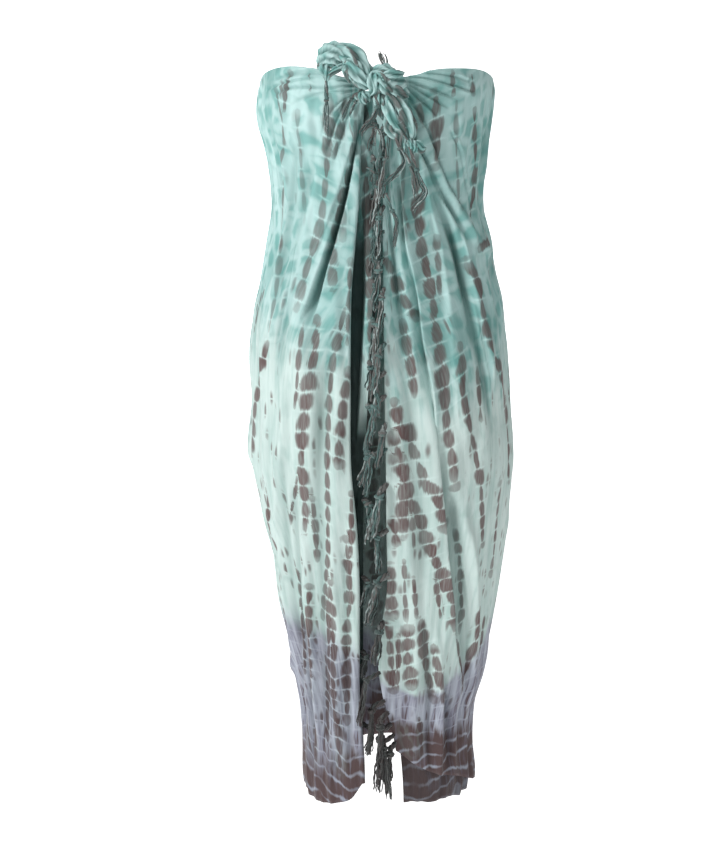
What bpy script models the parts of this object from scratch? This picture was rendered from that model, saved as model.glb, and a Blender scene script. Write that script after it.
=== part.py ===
"""A rayon sarong: one rectangle of thin cloth wound round the body and tied at the top of the front.

The front faces -Y and +X is on the right of someone who looks at it. The origin is in the middle of the tube,
at the height of the knot, where the tied cloth grips the chest. Tables are in millimetres.
"""
import math

import bmesh
import bpy
from mathutils import Vector

MM = 0.001
CLOTH = 1.6
SEAM = 0.3
CONTACT = 0.6
ROUNDNESS = 2.3

# Height, the left and right side lines, and how far the front and the back stand off the middle.
SECTIONS = (
    (30, -168, 158, 116, 104),
    (0, -172, 161, 118, 106),
    (-45, -173, 157, 117, 104),
    (-100, -159, 150, 114, 100),
    (-160, -154, 147, 111, 98),
    (-215, -160, 159, 112, 102),
    (-260, -170, 166, 114, 110),
    (-300, -179, 176, 116, 116),
    (-355, -186, 182, 118, 121),
    (-440, -184, 189, 119, 124),
    (-525, -186, 195, 117, 121),
    (-590, -175, 189, 114, 117),
    (-650, -160, 181, 111, 113),
    (-740, -146, 169, 106, 106),
    (-850, -124, 152, 100, 98),
    (-895, -116, 141, 98, 94),
    (-955, -114, 139, 97, 90),
    (-1000, -113, 143, 96, 88),
    (-1040, -108, 138, 95, 87),
)

# Height, the left front's folded edge, the left end's cut edge and the right front's cut edge.
FRONT_EDGES = (
    (10, -21, -12, 30),
    (-20, -23, -12, 17),
    (-60, -25, -12, 7),
    (-100, -28, -11, 3),
    (-155, -30, -11, 2),
    (-222, -36, -11, 2),
    (-290, -41, -11, 3),
    (-427, -42, -18, 5),
    (-525, -41, -22, 7),
    (-610, -33, -24, 8),
    (-700, -29, -24, 9),
    (-766, -29, -24, -1),
    (-794, -29, -24, -4),
    (-852, -29, -24, 3),
    (-908, -25, -19, 17),
    (-955, -21, -15, 25),
    (-1040, -19, -13, 30),
)

# How far along from the front edge to the side line, the height of the rim and of the hem.
LEFT_RIM = ((0, 2), (0.1, 9), (0.2, 17), (0.35, 24), (0.5, 26), (0.7, 23), (0.88, 15), (1, 4))
RIGHT_RIM = ((0, 9), (0.08, 13), (0.2, 20), (0.4, 23), (0.6, 23), (0.8, 18), (1, 11))
BACK_RIM = ((0, 4), (0.25, 8), (0.5, 10), (0.75, 10), (1, 11))
LEFT_HEM = ((0, -990), (0.1, -1013), (0.25, -1023), (0.45, -1028), (0.7, -1026), (1, -1016))
RIGHT_HEM = ((0, -938), (0.12, -960), (0.3, -978), (0.5, -986), (0.75, -1001), (1, -1014))
BACK_HEM = ((0, -1016), (0.25, -990), (0.5, -976), (0.75, -988), (1, -1014))
# The inner turn's hem: where it starts and ends along the right front, how far inside it each of its rows lies,
# its lowest height and how it rises towards the side line.
UNDER_HEM_SPAN = (0.02, 0.93)
UNDER_HEM_INWARD = (2.3, 2.6, 3.2, 4.2, 5, 5.6)
UNDER_HEM_LOWEST = -1022
UNDER_HEM_RISE = 14

# The rows of the walls, as heights on a level rim and hem.
ROWS = (20, 8, -5, -20, -38, -60, -88, -120, -160, -205, -255, -310, -375, -450, -530, -615, -700, -790, -870,
        -930, -980, -1015)

# Creases of the front. A trough has a negative depth and a ridge a positive one.
# Each has its reach to either side, its depth, and its path as places across and heights.
FRONT_CREASES = (
    ("deep left fold by the knot", 9, -5, ((-28, -30), (-42, -76), (-56, -130), (-66, -170))),
    ("deep left fold", 10, -14, ((-60, -146), (-84, -216), (-104, -270), (-122, -325), (-138, -372))),
    ("ridge beside the deep fold", 10, 7, ((-24, -60), (-36, -130), (-48, -190), (-66, -250), (-86, -310))),
    ("left rim gather 1", 7, -4, ((-26, 0), (-80, 14), (-140, 12))),
    ("left rim gather 2", 8, -4, ((-28, -10), (-80, -12), (-135, -24))),
    ("left rim gather 3", 10, -6, ((-30, -18), (-70, -46), (-110, -90), (-135, -150))),
    ("left soft fall", 16, -9, ((-90, -120), (-118, -240), (-140, -330), (-150, -420))),
    ("left lower fall", 13, -8, ((-70, -420), (-74, -560), (-66, -760), (-62, -1020))),
    ("left lower ridge", 13, 7, ((-100, -520), (-96, -700), (-88, -1020))),
    ("right rim gather 1", 7, -4, ((32, 4), (80, 10), (130, 6))),
    ("right rim gather 2", 8, -4, ((30, -8), (75, -16), (125, -26))),
    ("right shoulder trough", 11, -11, ((32, -24), (59, -108), (72, -128), (89, -155), (100, -175),
                                        (114, -209))),
    ("right shoulder ridge", 12, 9, ((48, -70), (67, -114), (108, -168), (136, -209), (147, -231))),
    ("long right crease", 8, -8, ((25, -88), (50, -209), (54, -277), (60, -345), (67, -400), (76, -456),
                                  (82, -526))),
    ("long right ridge", 10, 6, ((40, -120), (63, -230), (70, -330), (80, -430), (94, -520))),
    ("right soft fall", 17, -9, ((100, -205), (130, -334), (152, -433), (158, -520))),
    ("right lower fall", 14, -8, ((62, -540), (74, -700), (82, -860), (86, -1000))),
    ("right lower ridge", 14, 8, ((100, -560), (112, -720), (112, -860), (116, -1000))),
)
BACK_CREASES = (
    ("back left fall", 20, -6, ((-80, 0), (-88, -260), (-70, -620), (-50, -1000))),
    ("back left ridge", 18, 5, ((-48, -20), (-46, -300), (-34, -680), (-20, -980))),
    ("back middle fall", 18, -5, ((-10, 0), (-8, -280), (4, -640), (10, -980))),
    ("back right ridge", 18, 5, ((32, -10), (38, -320), (40, -660), (38, -990))),
    ("back right fall", 20, -6, ((76, 0), (86, -300), (78, -640), (66, -1000))),
)

# Upright gathers at the sides: place round the tube in degrees, reach, depth, top and bottom height.
SIDE_GATHERS = (
    (-112, 5, 2.5, 20, -300),
    (-102, 4, -2.5, 20, -260),
    (-94, 4, 2.5, 20, -340),
    (-84, 4, -2.5, 10, -260),
    (-76, 4, 2, 10, -230),
    (-98, 7, 3.5, -420, -900),
    (-84, 6, -4, -440, -1000),
    (-110, 7, -4, -380, -1000),
    (76, 4, 2.5, 10, -240),
    (84, 4, -2.5, 20, -260),
    (93, 4, 2.5, 20, -280),
    (103, 5, -2.5, 20, -300),
    (113, 5, 2.5, 10, -320),
    (84, 6, 4, -640, -900),
    (96, 7, -4, -500, -1000),
    (110, 7, 3.5, -420, -980),
)

# The left front's turned-in edge and the cloth's end that curls back behind it, and how deep that end lies.
FOLD_RADIUS = 4.6
RETURN_WIDTH = 11
CURL_RADIUS = 3.6
END_DEPTH = 2 * FOLD_RADIUS + 2 * CURL_RADIUS
END_TOP_ROW = 2
# How much of a wall beside a seam, and how much of the turned-in edge, runs square to its end.
SQUARE_SEAM = 0.016
SQUARE_END = 2

KNOT_CENTRE = (6, -131, 1)
KNOT_REACH = (23, 17, 20)

# The set of a lock of fringe as its number counts up: sideways and forward from its root, and its length.
LOCK_LANES = (
    (15, 1.5, 50),
    (3, 12.5, 44),
    (12.5, 6.8, 60),
    (-2.6, 12.8, 40),
    (8, 10.8, 54),
)
LOCK_STEP = 20
HIDDEN_LOCK_STEP = 27
# How far down a lock, and half its width: a root, a knot, a neck and a puffed end.
LOCK_SHAPE = ((0.06, 1.2), (0.16, 1.7), (0.27, 1.0), (0.6, 1.5), (0.88, 1.6), (1, 0.6))
BACKING_WIDTH = 3.6
HEAD_CELL = 2.5

CLOTH_COLOURS = {
    "teal": (0.36, 0.60, 0.58),
    "deep teal": (0.20, 0.42, 0.40),
    "pale teal": (0.50, 0.70, 0.68),
    "brown": (0.15, 0.10, 0.10),
    "fringe": (0.26, 0.44, 0.42),
}


def clear_scene():
    for thing in list(bpy.data.objects):
        bpy.data.objects.remove(thing, do_unlink=True)


def mix(a, b, share):
    return a + (b - a) * share


def smooth_step(low, high, value):
    share = min(1, max(0, (value - low) / (high - low)))
    return share * share * (3 - 2 * share)


def read_table(rows, key):
    """The other columns at a key, on a smooth curve through the rows, whose first column rises or falls."""
    sign = 1 if rows[-1][0] > rows[0][0] else -1
    last = len(rows) - 2
    i = 0
    while i < last and sign * key > sign * rows[i + 1][0]:
        i += 1
    before = rows[max(i - 1, 0)]
    start, end = rows[i], rows[i + 1]
    after = rows[min(i + 2, len(rows) - 1)]
    span = end[0] - start[0]
    t = min(1, max(0, (key - start[0]) / span))
    values = []
    for c in range(1, len(start)):
        slope_in = (end[c] - before[c]) / (end[0] - before[0]) * span
        slope_out = (after[c] - start[c]) / (after[0] - start[0]) * span
        values.append((2 * t**3 - 3 * t**2 + 1) * start[c] + (t**3 - 2 * t**2 + t) * slope_in
                      + (3 * t**2 - 2 * t**3) * end[c] + (t**3 - t**2) * slope_out)
    return values


def path_distance(path, across, height):
    """How far a place is from a crease's path, and how far along the path it is, from 0 to 1."""
    nearest, along = 1e9, 0
    for i in range(len(path) - 1):
        (ax, az), (bx, bz) = path[i], path[i + 1]
        run = (bx - ax) ** 2 + (bz - az) ** 2
        t = min(1, max(0, ((across - ax) * (bx - ax) + (height - az) * (bz - az)) / run))
        gap = math.hypot(across - mix(ax, bx, t), height - mix(az, bz, t))
        if gap < nearest:
            nearest, along = gap, (i + t) / (len(path) - 1)
    return nearest, along


def crease_depth(creases, across, height):
    total = 0
    for _, reach, depth, path in creases:
        gap, along = path_distance(path, across, height)
        if gap < 3 * reach:
            fade = smooth_step(0, 0.12, along + 0.05) * smooth_step(0, 0.25, 1.06 - along)
            total += depth * math.exp(-(gap / reach) ** 2) * fade
    return total


def gather_depth(degrees, height):
    """The upright gathers, which are level at the side lines so that the pieces meet squarely."""
    total = 0
    for place, reach, depth, top, bottom in SIDE_GATHERS:
        fade = smooth_step(bottom - 60, bottom + 60, height) * smooth_step(top + 60, top - 20, height)
        total += depth * math.exp(-((degrees - place) / reach) ** 2) * fade
    return total * smooth_step(2, 8, abs(abs(degrees) - 90))


def signed_power(value, power):
    return math.copysign(abs(value) ** power, value)


def angle_at(across, height):
    """The angle round the tube, 0 in the middle of the front, at which the front passes a place across."""
    left, right, _, _ = read_table(SECTIONS, height)
    share = (across - (left + right) / 2) / ((right - left) / 2)
    return math.asin(max(-1, min(1, signed_power(share, ROUNDNESS / 2))))


def cloth_point(angle, height, inward=0):
    """A point of the cloth's outer face. It lies on a rounded section, moved in or out by the creases."""
    left, right, front, back = read_table(SECTIONS, height)
    half = (right - left) / 2
    facing = math.cos(angle)
    depth = front if facing > 0 else back
    x = signed_power(math.sin(angle), 2 / ROUNDNESS)
    y = -signed_power(facing, 2 / ROUNDNESS)
    slopes = (signed_power(x, ROUNDNESS - 1) / half, signed_power(y, ROUNDNESS - 1) / depth, 0)
    normal = Vector(slopes).normalized()
    across = (left + right) / 2 + half * x
    creases = FRONT_CREASES if facing > 0 else BACK_CREASES
    out = crease_depth(creases, across, height) * smooth_step(0, 0.25, abs(facing))
    out += gather_depth(math.degrees(angle), height)
    return Vector((across, depth * y, height)) + normal * (out - inward)


def layer_point(across, height, inward):
    """A point of an inner layer at the front, straight behind the outer face."""
    point = cloth_point(angle_at(across, height), height)
    return Vector((across, point.y + inward, height))


def row_heights(rim, hem):
    top, bottom = ROWS[0], ROWS[-1]
    return [mix(rim, hem, (top - row) / (top - bottom)) for row in ROWS]


def seam_angle(depth):
    """The small angle that leaves half a seam's gap at a side line."""
    return (SEAM / 2 / depth) ** (ROUNDNESS / 2)


def finish(name, mesh, colour):
    """A piece from its mesh, with a plain matt material of its own."""
    material = bpy.data.materials.new(name + " cloth")
    material.use_nodes = True
    shader = material.node_tree.nodes["Principled BSDF"]
    shader.inputs["Base Color"].default_value = (*CLOTH_COLOURS[colour], 1)
    shader.inputs["Roughness"].default_value = 0.85
    shader.inputs["Metallic"].default_value = 0
    mesh.materials.append(material)
    mesh.shade_smooth()
    piece = bpy.data.objects.new(name, mesh)
    bpy.context.scene.collection.objects.link(piece)
    return piece


def cloth_wall(name, rows, colour, thickness=CLOTH):
    """A wall of cloth from rows of outer points, each row from the viewer's left to the right."""
    mesh = bpy.data.meshes.new(name)
    width = len(rows[0])
    points = [tuple(point * MM) for row in rows for point in row]
    faces = []
    for r in range(len(rows) - 1):
        for c in range(width - 1):
            corner = r * width + c
            faces.append((corner, corner + width, corner + width + 1, corner + 1))
    mesh.from_pydata(points, [], faces)
    piece = finish(name, mesh, colour)
    wall = piece.modifiers.new("Cloth thickness", "SOLIDIFY")
    wall.thickness = thickness * MM
    wall.offset = -1
    wall.use_even_offset = False
    return piece


def columns(count, near_edge=1.0):
    """Places from 0 at the front edge to 1 at the side line, with one close to the seam to keep it square."""
    places = [(i / count) ** near_edge for i in range(count + 1)]
    return places[:-1] + [1 - SQUARE_SEAM, 1]


def left_front():
    places = columns(21, 1.15)
    half_turn = [math.pi * k / 6 for k in range(1, 7)]
    rows = [[] for _ in ROWS]
    for place in reversed(places):
        heights = row_heights(read_table(LEFT_RIM, place)[0], read_table(LEFT_HEM, place)[0])
        for row, height in zip(rows, heights):
            edge = read_table(FRONT_EDGES, height)[0] - FOLD_RADIUS
            side = -math.pi / 2 + seam_angle(read_table(SECTIONS, height)[2])
            row.append(cloth_point(mix(angle_at(edge, height), side, place), height))
    heights = row_heights(LEFT_RIM[0][1], LEFT_HEM[0][1])
    for row, height in zip(rows, heights):
        edge = read_table(FRONT_EDGES, height)[0] - FOLD_RADIUS
        for turn in half_turn:
            out = FOLD_RADIUS * math.sin(turn)
            row.append(layer_point(edge, height, FOLD_RADIUS * (1 - math.cos(turn))) + Vector((out, 0, 0)))
        row.append(layer_point(edge - RETURN_WIDTH * 0.5, height, 2 * FOLD_RADIUS))
        end = layer_point(edge - RETURN_WIDTH, height, 2 * FOLD_RADIUS)
        row += [end + Vector((SQUARE_END, 0, 0)), end]
    return cloth_wall("left_front", rows, "teal")


def left_end_heights():
    """The rows of the left front's folded edge from just below the knot, which the end strip shares."""
    return row_heights(LEFT_RIM[0][1], LEFT_HEM[0][1])[END_TOP_ROW:]


def left_end_strip():
    half_turn = [math.pi * k / 5 for k in range(6)]
    rows = []
    for height in left_end_heights():
        fold, end, _ = read_table(FRONT_EDGES, height)
        start = fold - FOLD_RADIUS - RETURN_WIDTH - SEAM
        row = []
        for turn in half_turn:
            inward = 2 * FOLD_RADIUS + CURL_RADIUS * (1 - math.cos(turn))
            out = SEAM + CURL_RADIUS * math.sin(turn)
            row.append(layer_point(start + SEAM, height, inward) - Vector((out, 0, 0)))
        for share in (0.3, 0.6, 0.85, 1):
            row.append(layer_point(mix(start, end, share), height, END_DEPTH))
        rows.append(row)
    return cloth_wall("left_end_strip", rows, "pale teal")


def right_point(place, height, inward=0):
    edge = read_table(FRONT_EDGES, height)[2]
    side = math.pi / 2 - seam_angle(read_table(SECTIONS, height)[2])
    return cloth_point(mix(angle_at(edge, height), side, place), height, inward)


def right_front():
    rows = [[] for _ in ROWS]
    for place in columns(25, 1.1):
        heights = row_heights(read_table(RIGHT_RIM, place)[0], read_table(RIGHT_HEM, place)[0])
        for row, height in zip(rows, heights):
            row.append(right_point(place, height))
    return cloth_wall("right_front", rows, "teal")


def under_hem():
    """The inner turn's hem, which shows below the slanted hem of the right front."""
    places = [place for place in columns(25, 1.1) if UNDER_HEM_SPAN[0] < place < UNDER_HEM_SPAN[1]]
    rows = [[] for _ in UNDER_HEM_INWARD]
    shared = len(rows) - 2
    for place in places:
        heights = row_heights(read_table(RIGHT_RIM, place)[0], read_table(RIGHT_HEM, place)[0])[-shared:]
        lowest = UNDER_HEM_LOWEST + UNDER_HEM_RISE * max(0, place - 0.7)
        heights += [mix(heights[-1], lowest, 0.5), lowest]
        for row, height, inward in zip(rows, heights, UNDER_HEM_INWARD):
            row.append(right_point(place, height, inward))
    return cloth_wall("under_hem", rows, "brown")


def back():
    rows = [[] for _ in ROWS]
    for place in [0, SQUARE_SEAM / 2] + columns(24)[1:-2] + [1 - SQUARE_SEAM / 2, 1]:
        heights = row_heights(read_table(BACK_RIM, 1 - place)[0], read_table(BACK_HEM, 1 - place)[0])
        for row, height in zip(rows, heights):
            gap = seam_angle(read_table(SECTIONS, height)[3])
            angle = mix(math.pi / 2 + gap, 3 * math.pi / 2 - gap, place)
            row.append(cloth_point(angle if angle <= math.pi else angle - 2 * math.pi, height))
    return cloth_wall("back", rows, "deep teal")


def knot_point(direction):
    """The knot's surface: a rounded lump with the soft lobes of cloth that crosses over itself."""
    direction = direction.normalized()
    turn = math.atan2(direction.z, direction.x)
    lobes = 1 + 0.09 * math.cos(3 * turn + 2.2 * direction.y) - 0.07 * math.cos(5 * turn - 1.4)
    reach = Vector(KNOT_REACH) * lobes
    point = Vector(KNOT_CENTRE) + Vector((direction.x * reach.x, direction.y * reach.y, direction.z * reach.z))
    wall = layer_point(point.x, point.z, 0).y - CONTACT
    return Vector((point.x, min(point.y, wall), point.z))


def knot():
    bm = bmesh.new()
    bmesh.ops.create_uvsphere(bm, u_segments=20, v_segments=12, radius=1)
    for vert in bm.verts:
        vert.co = knot_point(Vector((vert.co.x, -vert.co.z, vert.co.y))) * MM
    mesh = bpy.data.meshes.new("knot")
    bm.to_mesh(mesh)
    bm.free()
    return finish("knot", mesh, "pale teal")


# Along each tied corner, from its seat on the knot: place, offset across, forward and up, width, pleat depth
# and how far it bows forward.
FAN_PATH = (
    (0, 0, 0, 0, 11, 1.2, 0),
    (0.12, -6, -1, 2, 12, 1.5, 1),
    (0.35, -17, -4, 12, 22, 2.4, 3),
    (0.6, -29, -6, 21, 34, 3.2, 5),
    (0.85, -45, -4, 25, 38, 3.2, 6),
    (1, -57, -1, 24, 34, 2.4, 4),
)
LOOP_PATH = (
    (0, 0, 0, 0, 8, 1.1, 0),
    (0.1, 3, -1, -4, 9, 1.3, 0),
    (0.35, 11, -3, -22, 24, 2.2, 3),
    (0.6, 17, -3, -39, 30, 2.8, 5),
    (0.85, 19, -3, -58, 22, 2.2, 3),
    (1, 18, -3, -69, 9, 1.2, 0),
)
END_STEPS = 11
END_CLOTH = 1.2


def pleated_end(name, way, clear, path, pleats, colour):
    """A tied corner of the cloth, as a pleated sheet that leaves the knot one way and follows a path."""
    seat = knot_point(way) + way.normalized() * clear
    across_count = pleats * 4
    rows = []
    for i in range(END_STEPS):
        share = i / (END_STEPS - 1)
        x, y, z, width, depth, bow = read_table(path, share)
        ahead = read_table(path, min(1, share + 0.02))
        behind = read_table(path, max(0, share - 0.02))
        along = Vector((ahead[0] - behind[0], 0, ahead[2] - behind[2])).normalized()
        sideways = Vector((along.z, 0, -along.x))
        row = []
        for k in range(across_count + 1):
            place = k / across_count - 0.5
            wave = depth * math.sin(place * 2 * math.pi * pleats + 0.6)
            forward = y + wave - bow * (1 - 4 * place * place)
            row.append(seat + Vector((x, forward, z)) + sideways * width * place)
        rows.append(row)
    cloth_wall(name, rows, colour, END_CLOTH)
    return rows[-1]


def square_section(centre, along, half, turn):
    """Four corners round a centre, square to the way the lock runs."""
    front = Vector((0, -1, 0))
    if abs(along.dot(front)) > 0.9:
        front = Vector((0, 0, 1))
    up = (front - along * along.dot(front)).normalized()
    side = along.cross(up)
    corners = []
    for k in range(4):
        angle = math.pi / 4 + k * math.pi / 2 + turn
        corners.append(centre + (side * math.cos(angle) + up * math.sin(angle)) * half * math.sqrt(2))
    return corners


def grow_lock(bm, root, route, thickness):
    """A lock of fringe grown from one face of its backing along a route of points."""
    length = sum((route[i + 1] - route[i]).length for i in range(len(route) - 1))
    face = root
    for number, (share, half) in enumerate(LOCK_SHAPE):
        target = share * length
        i = 0
        while i < len(route) - 2 and target > (route[i + 1] - route[i]).length:
            target -= (route[i + 1] - route[i]).length
            i += 1
        along = (route[i + 1] - route[i]).normalized()
        centre = route[i] + along * target
        corners = square_section(centre, along, half * thickness, 0.25 * number)
        result = bmesh.ops.extrude_discrete_faces(bm, faces=[face])
        face = result["faces"][0]
        verts = [loop.vert for loop in face.loops]
        best = min(range(8), key=lambda k: sum(
            (verts[j].co / MM - corners[(k + (j if k < 4 else -j)) % 4]).length for j in range(4)))
        for j, vert in enumerate(verts):
            vert.co = corners[(best + (j if best < 4 else -j)) % 4] * MM


def fringe(name, rungs, routes, colour="fringe", thickness=1.0, wall=CLOTH):
    """Locks whose roots are fused into a narrow strip. A rung is the strip's cloth side and its free side."""
    bm = bmesh.new()
    rings = []
    for near, far, inward in rungs:
        corners = (near, far, far + inward * wall, near + inward * wall)
        rings.append([bm.verts.new(corner * MM) for corner in corners])
    free_faces = []
    for i in range(len(rings) - 1):
        upper, lower = rings[i], rings[i + 1]
        for k in range(4):
            face = bm.faces.new((upper[k], upper[(k + 1) % 4], lower[(k + 1) % 4], lower[k]))
            if k == 1:
                free_faces.append(face)
    bm.faces.new(rings[0][::-1])
    bm.faces.new(rings[-1])
    for number, route in routes:
        grow_lock(bm, free_faces[number], route, thickness)
    bmesh.ops.recalc_face_normals(bm, faces=bm.faces)
    mesh = bpy.data.meshes.new(name)
    bm.to_mesh(mesh)
    bm.free()
    return finish(name, mesh, colour)


def cut_edge(heights, column, height):
    """Where a cut edge runs at a height, straight from each row of its wall to the next."""
    i = 0
    while i < len(heights) - 2 and height < heights[i + 1]:
        i += 1
    upper, lower = (read_table(FRONT_EDGES, heights[k])[column] for k in (i, i + 1))
    return mix(upper, lower, (heights[i] - height) / (heights[i] - heights[i + 1]))


def edge_fringe(name, top, bottom, step, wall_rows, edge_column, side, inward, reach):
    """A fringe down a cut edge. Side is the way the locks stand off it: -1 to the left, 1 to the right."""
    cells = int((top - bottom) / step) * 2
    rungs = []
    for i in range(cells + 1):
        height = mix(top, bottom, i / cells)
        near = cut_edge(wall_rows, edge_column, height) + side * CONTACT
        far = near + side * BACKING_WIDTH
        rungs.append((layer_point(near, height, inward), layer_point(far, height, inward), Vector((0, 1, 0))))
    routes = []
    for i in range(0, cells, 2):
        sideways, forward, length = LOCK_LANES[(i // 2) % len(LOCK_LANES)]
        root = (rungs[i][1] + rungs[i + 1][1]) / 2 + Vector((0, CLOTH / 2, 0))
        stand = root + Vector((side * 1.2, 0, -0.5))
        hang = root + Vector((side * sideways * reach, -forward * reach, -8))
        sway = 2.0 * math.sin(1.7 * i)
        tip = hang + Vector((side * 0.6 + 0.5 * sway, 0, -length))
        routes.append((i, [root, stand, hang, mix(hang, tip, 0.5) + Vector((0.2 * sway, 0, 0)), tip]))
    return fringe(name, rungs, routes)


def tassel(name, head, down, sideways, routes, thickness=1.0):
    """A few locks from one small head, which is a short strip set across the way they hang."""
    cells = 2 * len(routes) - 1
    wall = 2.4
    rungs = []
    for i in range(cells + 1):
        place = head + sideways * (i / cells - 0.5) * HEAD_CELL * cells
        rungs.append((place, place + down * 3, Vector((0, 1, 0))))
    lock_routes = []
    for number, offsets in enumerate(routes):
        cell = 2 * number
        root = (rungs[cell][1] + rungs[cell + 1][1]) / 2 + Vector((0, wall / 2, 0))
        points = [root, root + down * 2]
        points += [root + Vector(offset) for offset in offsets]
        lock_routes.append((cell, points))
    return fringe(name, rungs, lock_routes, thickness=thickness, wall=wall)


def tassels(fan_end, loop_end):
    down = Vector((0, 0, -1))
    left = Vector((-1, 0, 0))
    tassel("loop_tassels", loop_end[len(loop_end) // 2] + down * CONTACT, down, left, (
        ((6, -2, -20), (14, -3, -50), (19, -3, -66)),
        ((1, -4, -20), (4, -5, -55), (-2, -5, -76)),
        ((-6, -2, -18), (-10, -3, -40), (-26, -4, -58)),
    ), 1.3)
    tassel("fan_tassels", fan_end[0] + down * CONTACT, down, left, (
        ((3, 0, -20), (5, 2, -46), (2, 3, -66)),
        ((-2, 0, -18), (-4, 1, -40), (-8, 1, -84)),
    ), 1.1)
    below = knot_point(Vector((-0.1, -0.25, -1)))
    tassel("knot_tassels", below + Vector((0, -1, -CONTACT)), down, left, (
        ((5, -6, -14), (2, -8, -34), (9, -8, -52)),
        ((-3, -2, -14), (-12, -4, -24), (-16, -5, -40)),
    ), 1.3)
    beside = knot_point(Vector((-1, -0.1, -0.45)))
    aslant = Vector((-0.88, 0, -0.47))
    tassel("left_knot_tassels", beside + aslant * CONTACT, aslant, Vector((-0.47, 0, 0.88)), (
        ((-9, -1, -5), (-18, 0, -16), (-24, 2, -27)),
        ((-9, -1, -1), (-20, 0, -6), (-31, 2, -18)),
    ), 1.1)
    above = knot_point(Vector((0.35, -0.1, 1)))
    outward = Vector((0.4, 0, 0.92))
    tassel("upper_tuft", above + outward * 2 * CONTACT, outward, Vector((0.92, 0, -0.4)), (
        ((-2, 0, 8), (-5, 0, 16), (-9, 0, 25)),
        ((1, -2, 8), (-1, -3, 16), (-3, -3, 24)),
    ), 0.8)


def main():
    clear_scene()
    left_front()
    left_end_strip()
    right_front()
    under_hem()
    back()
    knot()
    fan_end = pleated_end("left_corner_fan", Vector((-1, 0, 0.25)), 1.5, FAN_PATH, 4, "teal")
    loop_end = pleated_end("right_corner_loop", Vector((0.7, -0.3, -0.72)), 1.4, LOOP_PATH, 3, "teal")
    right_rows = row_heights(RIGHT_RIM[0][1], RIGHT_HEM[0][1])
    edge_fringe("right_end_fringe", -48, -930, LOCK_STEP, right_rows, 2, -1, 0, 1.0)
    edge_fringe("left_end_fringe", -40, -960, HIDDEN_LOCK_STEP, left_end_heights(), 1, 1, END_DEPTH, 0.7)
    tassels(fan_end, loop_end)


main()
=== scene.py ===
"""The looks of a tie-dyed sarong, tied at the top of the front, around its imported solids.

The front faces -Y. Tables are in millimetres. They give places on the cloth across, to the right of someone
who looks at the front, and in height above the knot. Arcs run round the tube from the middle of the front.
"""
import math

import bpy
import numpy as np
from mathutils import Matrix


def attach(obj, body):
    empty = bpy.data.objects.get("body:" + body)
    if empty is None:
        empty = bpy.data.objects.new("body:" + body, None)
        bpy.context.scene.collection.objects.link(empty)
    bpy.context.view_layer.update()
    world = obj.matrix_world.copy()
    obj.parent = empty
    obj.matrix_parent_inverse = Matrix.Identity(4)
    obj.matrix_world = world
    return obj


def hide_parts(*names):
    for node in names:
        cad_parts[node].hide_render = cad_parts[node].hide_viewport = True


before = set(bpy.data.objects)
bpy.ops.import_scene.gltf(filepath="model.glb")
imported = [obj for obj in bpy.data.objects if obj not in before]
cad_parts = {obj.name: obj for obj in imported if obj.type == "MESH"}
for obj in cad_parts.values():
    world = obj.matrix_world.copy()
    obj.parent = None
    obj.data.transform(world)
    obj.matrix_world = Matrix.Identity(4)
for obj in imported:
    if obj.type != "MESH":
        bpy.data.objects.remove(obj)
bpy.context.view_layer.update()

MM = 0.001
SEED = 41
# How square the tube's section is, where 2 is an ellipse, and the radius that arcs are measured on.
ROUNDNESS = 2.3
ARC = 140
# The cloth's thickness in the shells, and how far the inner layers of the front lie behind the outer one.
CLOTH = 0.8
LAYER_GAP = 9.2
CURL_GAP = 7.2
# The left fold: its radius, the cloth that goes round it, and how wide the cloth returns behind it.
FOLD_RADIUS = 4.6
FOLD_GIRTH = 14.5
RETURN_WIDTH = 11
# The left end's strip: the cloth up to its curl and round it, and how deep it sinks beside the fold.
CURL_ARC = 25
CURL_GIRTH = 11
VALLEY_DEPTH = 24

# Height, the left and right side lines, and how far the front and the back stand off the middle.
SECTIONS = (
    (30, -168, 158, 116, 104),
    (0, -172, 161, 118, 106),
    (-45, -173, 157, 117, 104),
    (-100, -159, 150, 114, 100),
    (-160, -154, 147, 111, 98),
    (-215, -160, 159, 112, 102),
    (-260, -170, 166, 114, 110),
    (-300, -179, 176, 116, 116),
    (-355, -186, 182, 118, 121),
    (-440, -184, 189, 119, 124),
    (-525, -186, 195, 117, 121),
    (-590, -175, 189, 114, 117),
    (-650, -160, 181, 111, 113),
    (-740, -146, 169, 106, 106),
    (-850, -124, 152, 100, 98),
    (-895, -116, 141, 98, 94),
    (-955, -114, 139, 97, 90),
    (-1000, -113, 143, 96, 88),
    (-1040, -108, 138, 95, 87),
)

# Height, the left front's folded edge, the left end's cut edge and the right front's cut edge.
FRONT_EDGES = (
    (10, -21, -12, 30),
    (-20, -23, -12, 17),
    (-60, -25, -12, 7),
    (-100, -28, -11, 3),
    (-155, -30, -11, 2),
    (-222, -36, -11, 2),
    (-290, -41, -11, 3),
    (-427, -42, -18, 5),
    (-525, -41, -22, 7),
    (-610, -33, -24, 8),
    (-700, -29, -24, 9),
    (-766, -29, -24, -1),
    (-794, -29, -24, -4),
    (-852, -29, -24, 3),
    (-908, -25, -24, 17),
    (-955, -22, -23, 25),
    (-1040, -20, -22, 30),
)

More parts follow.
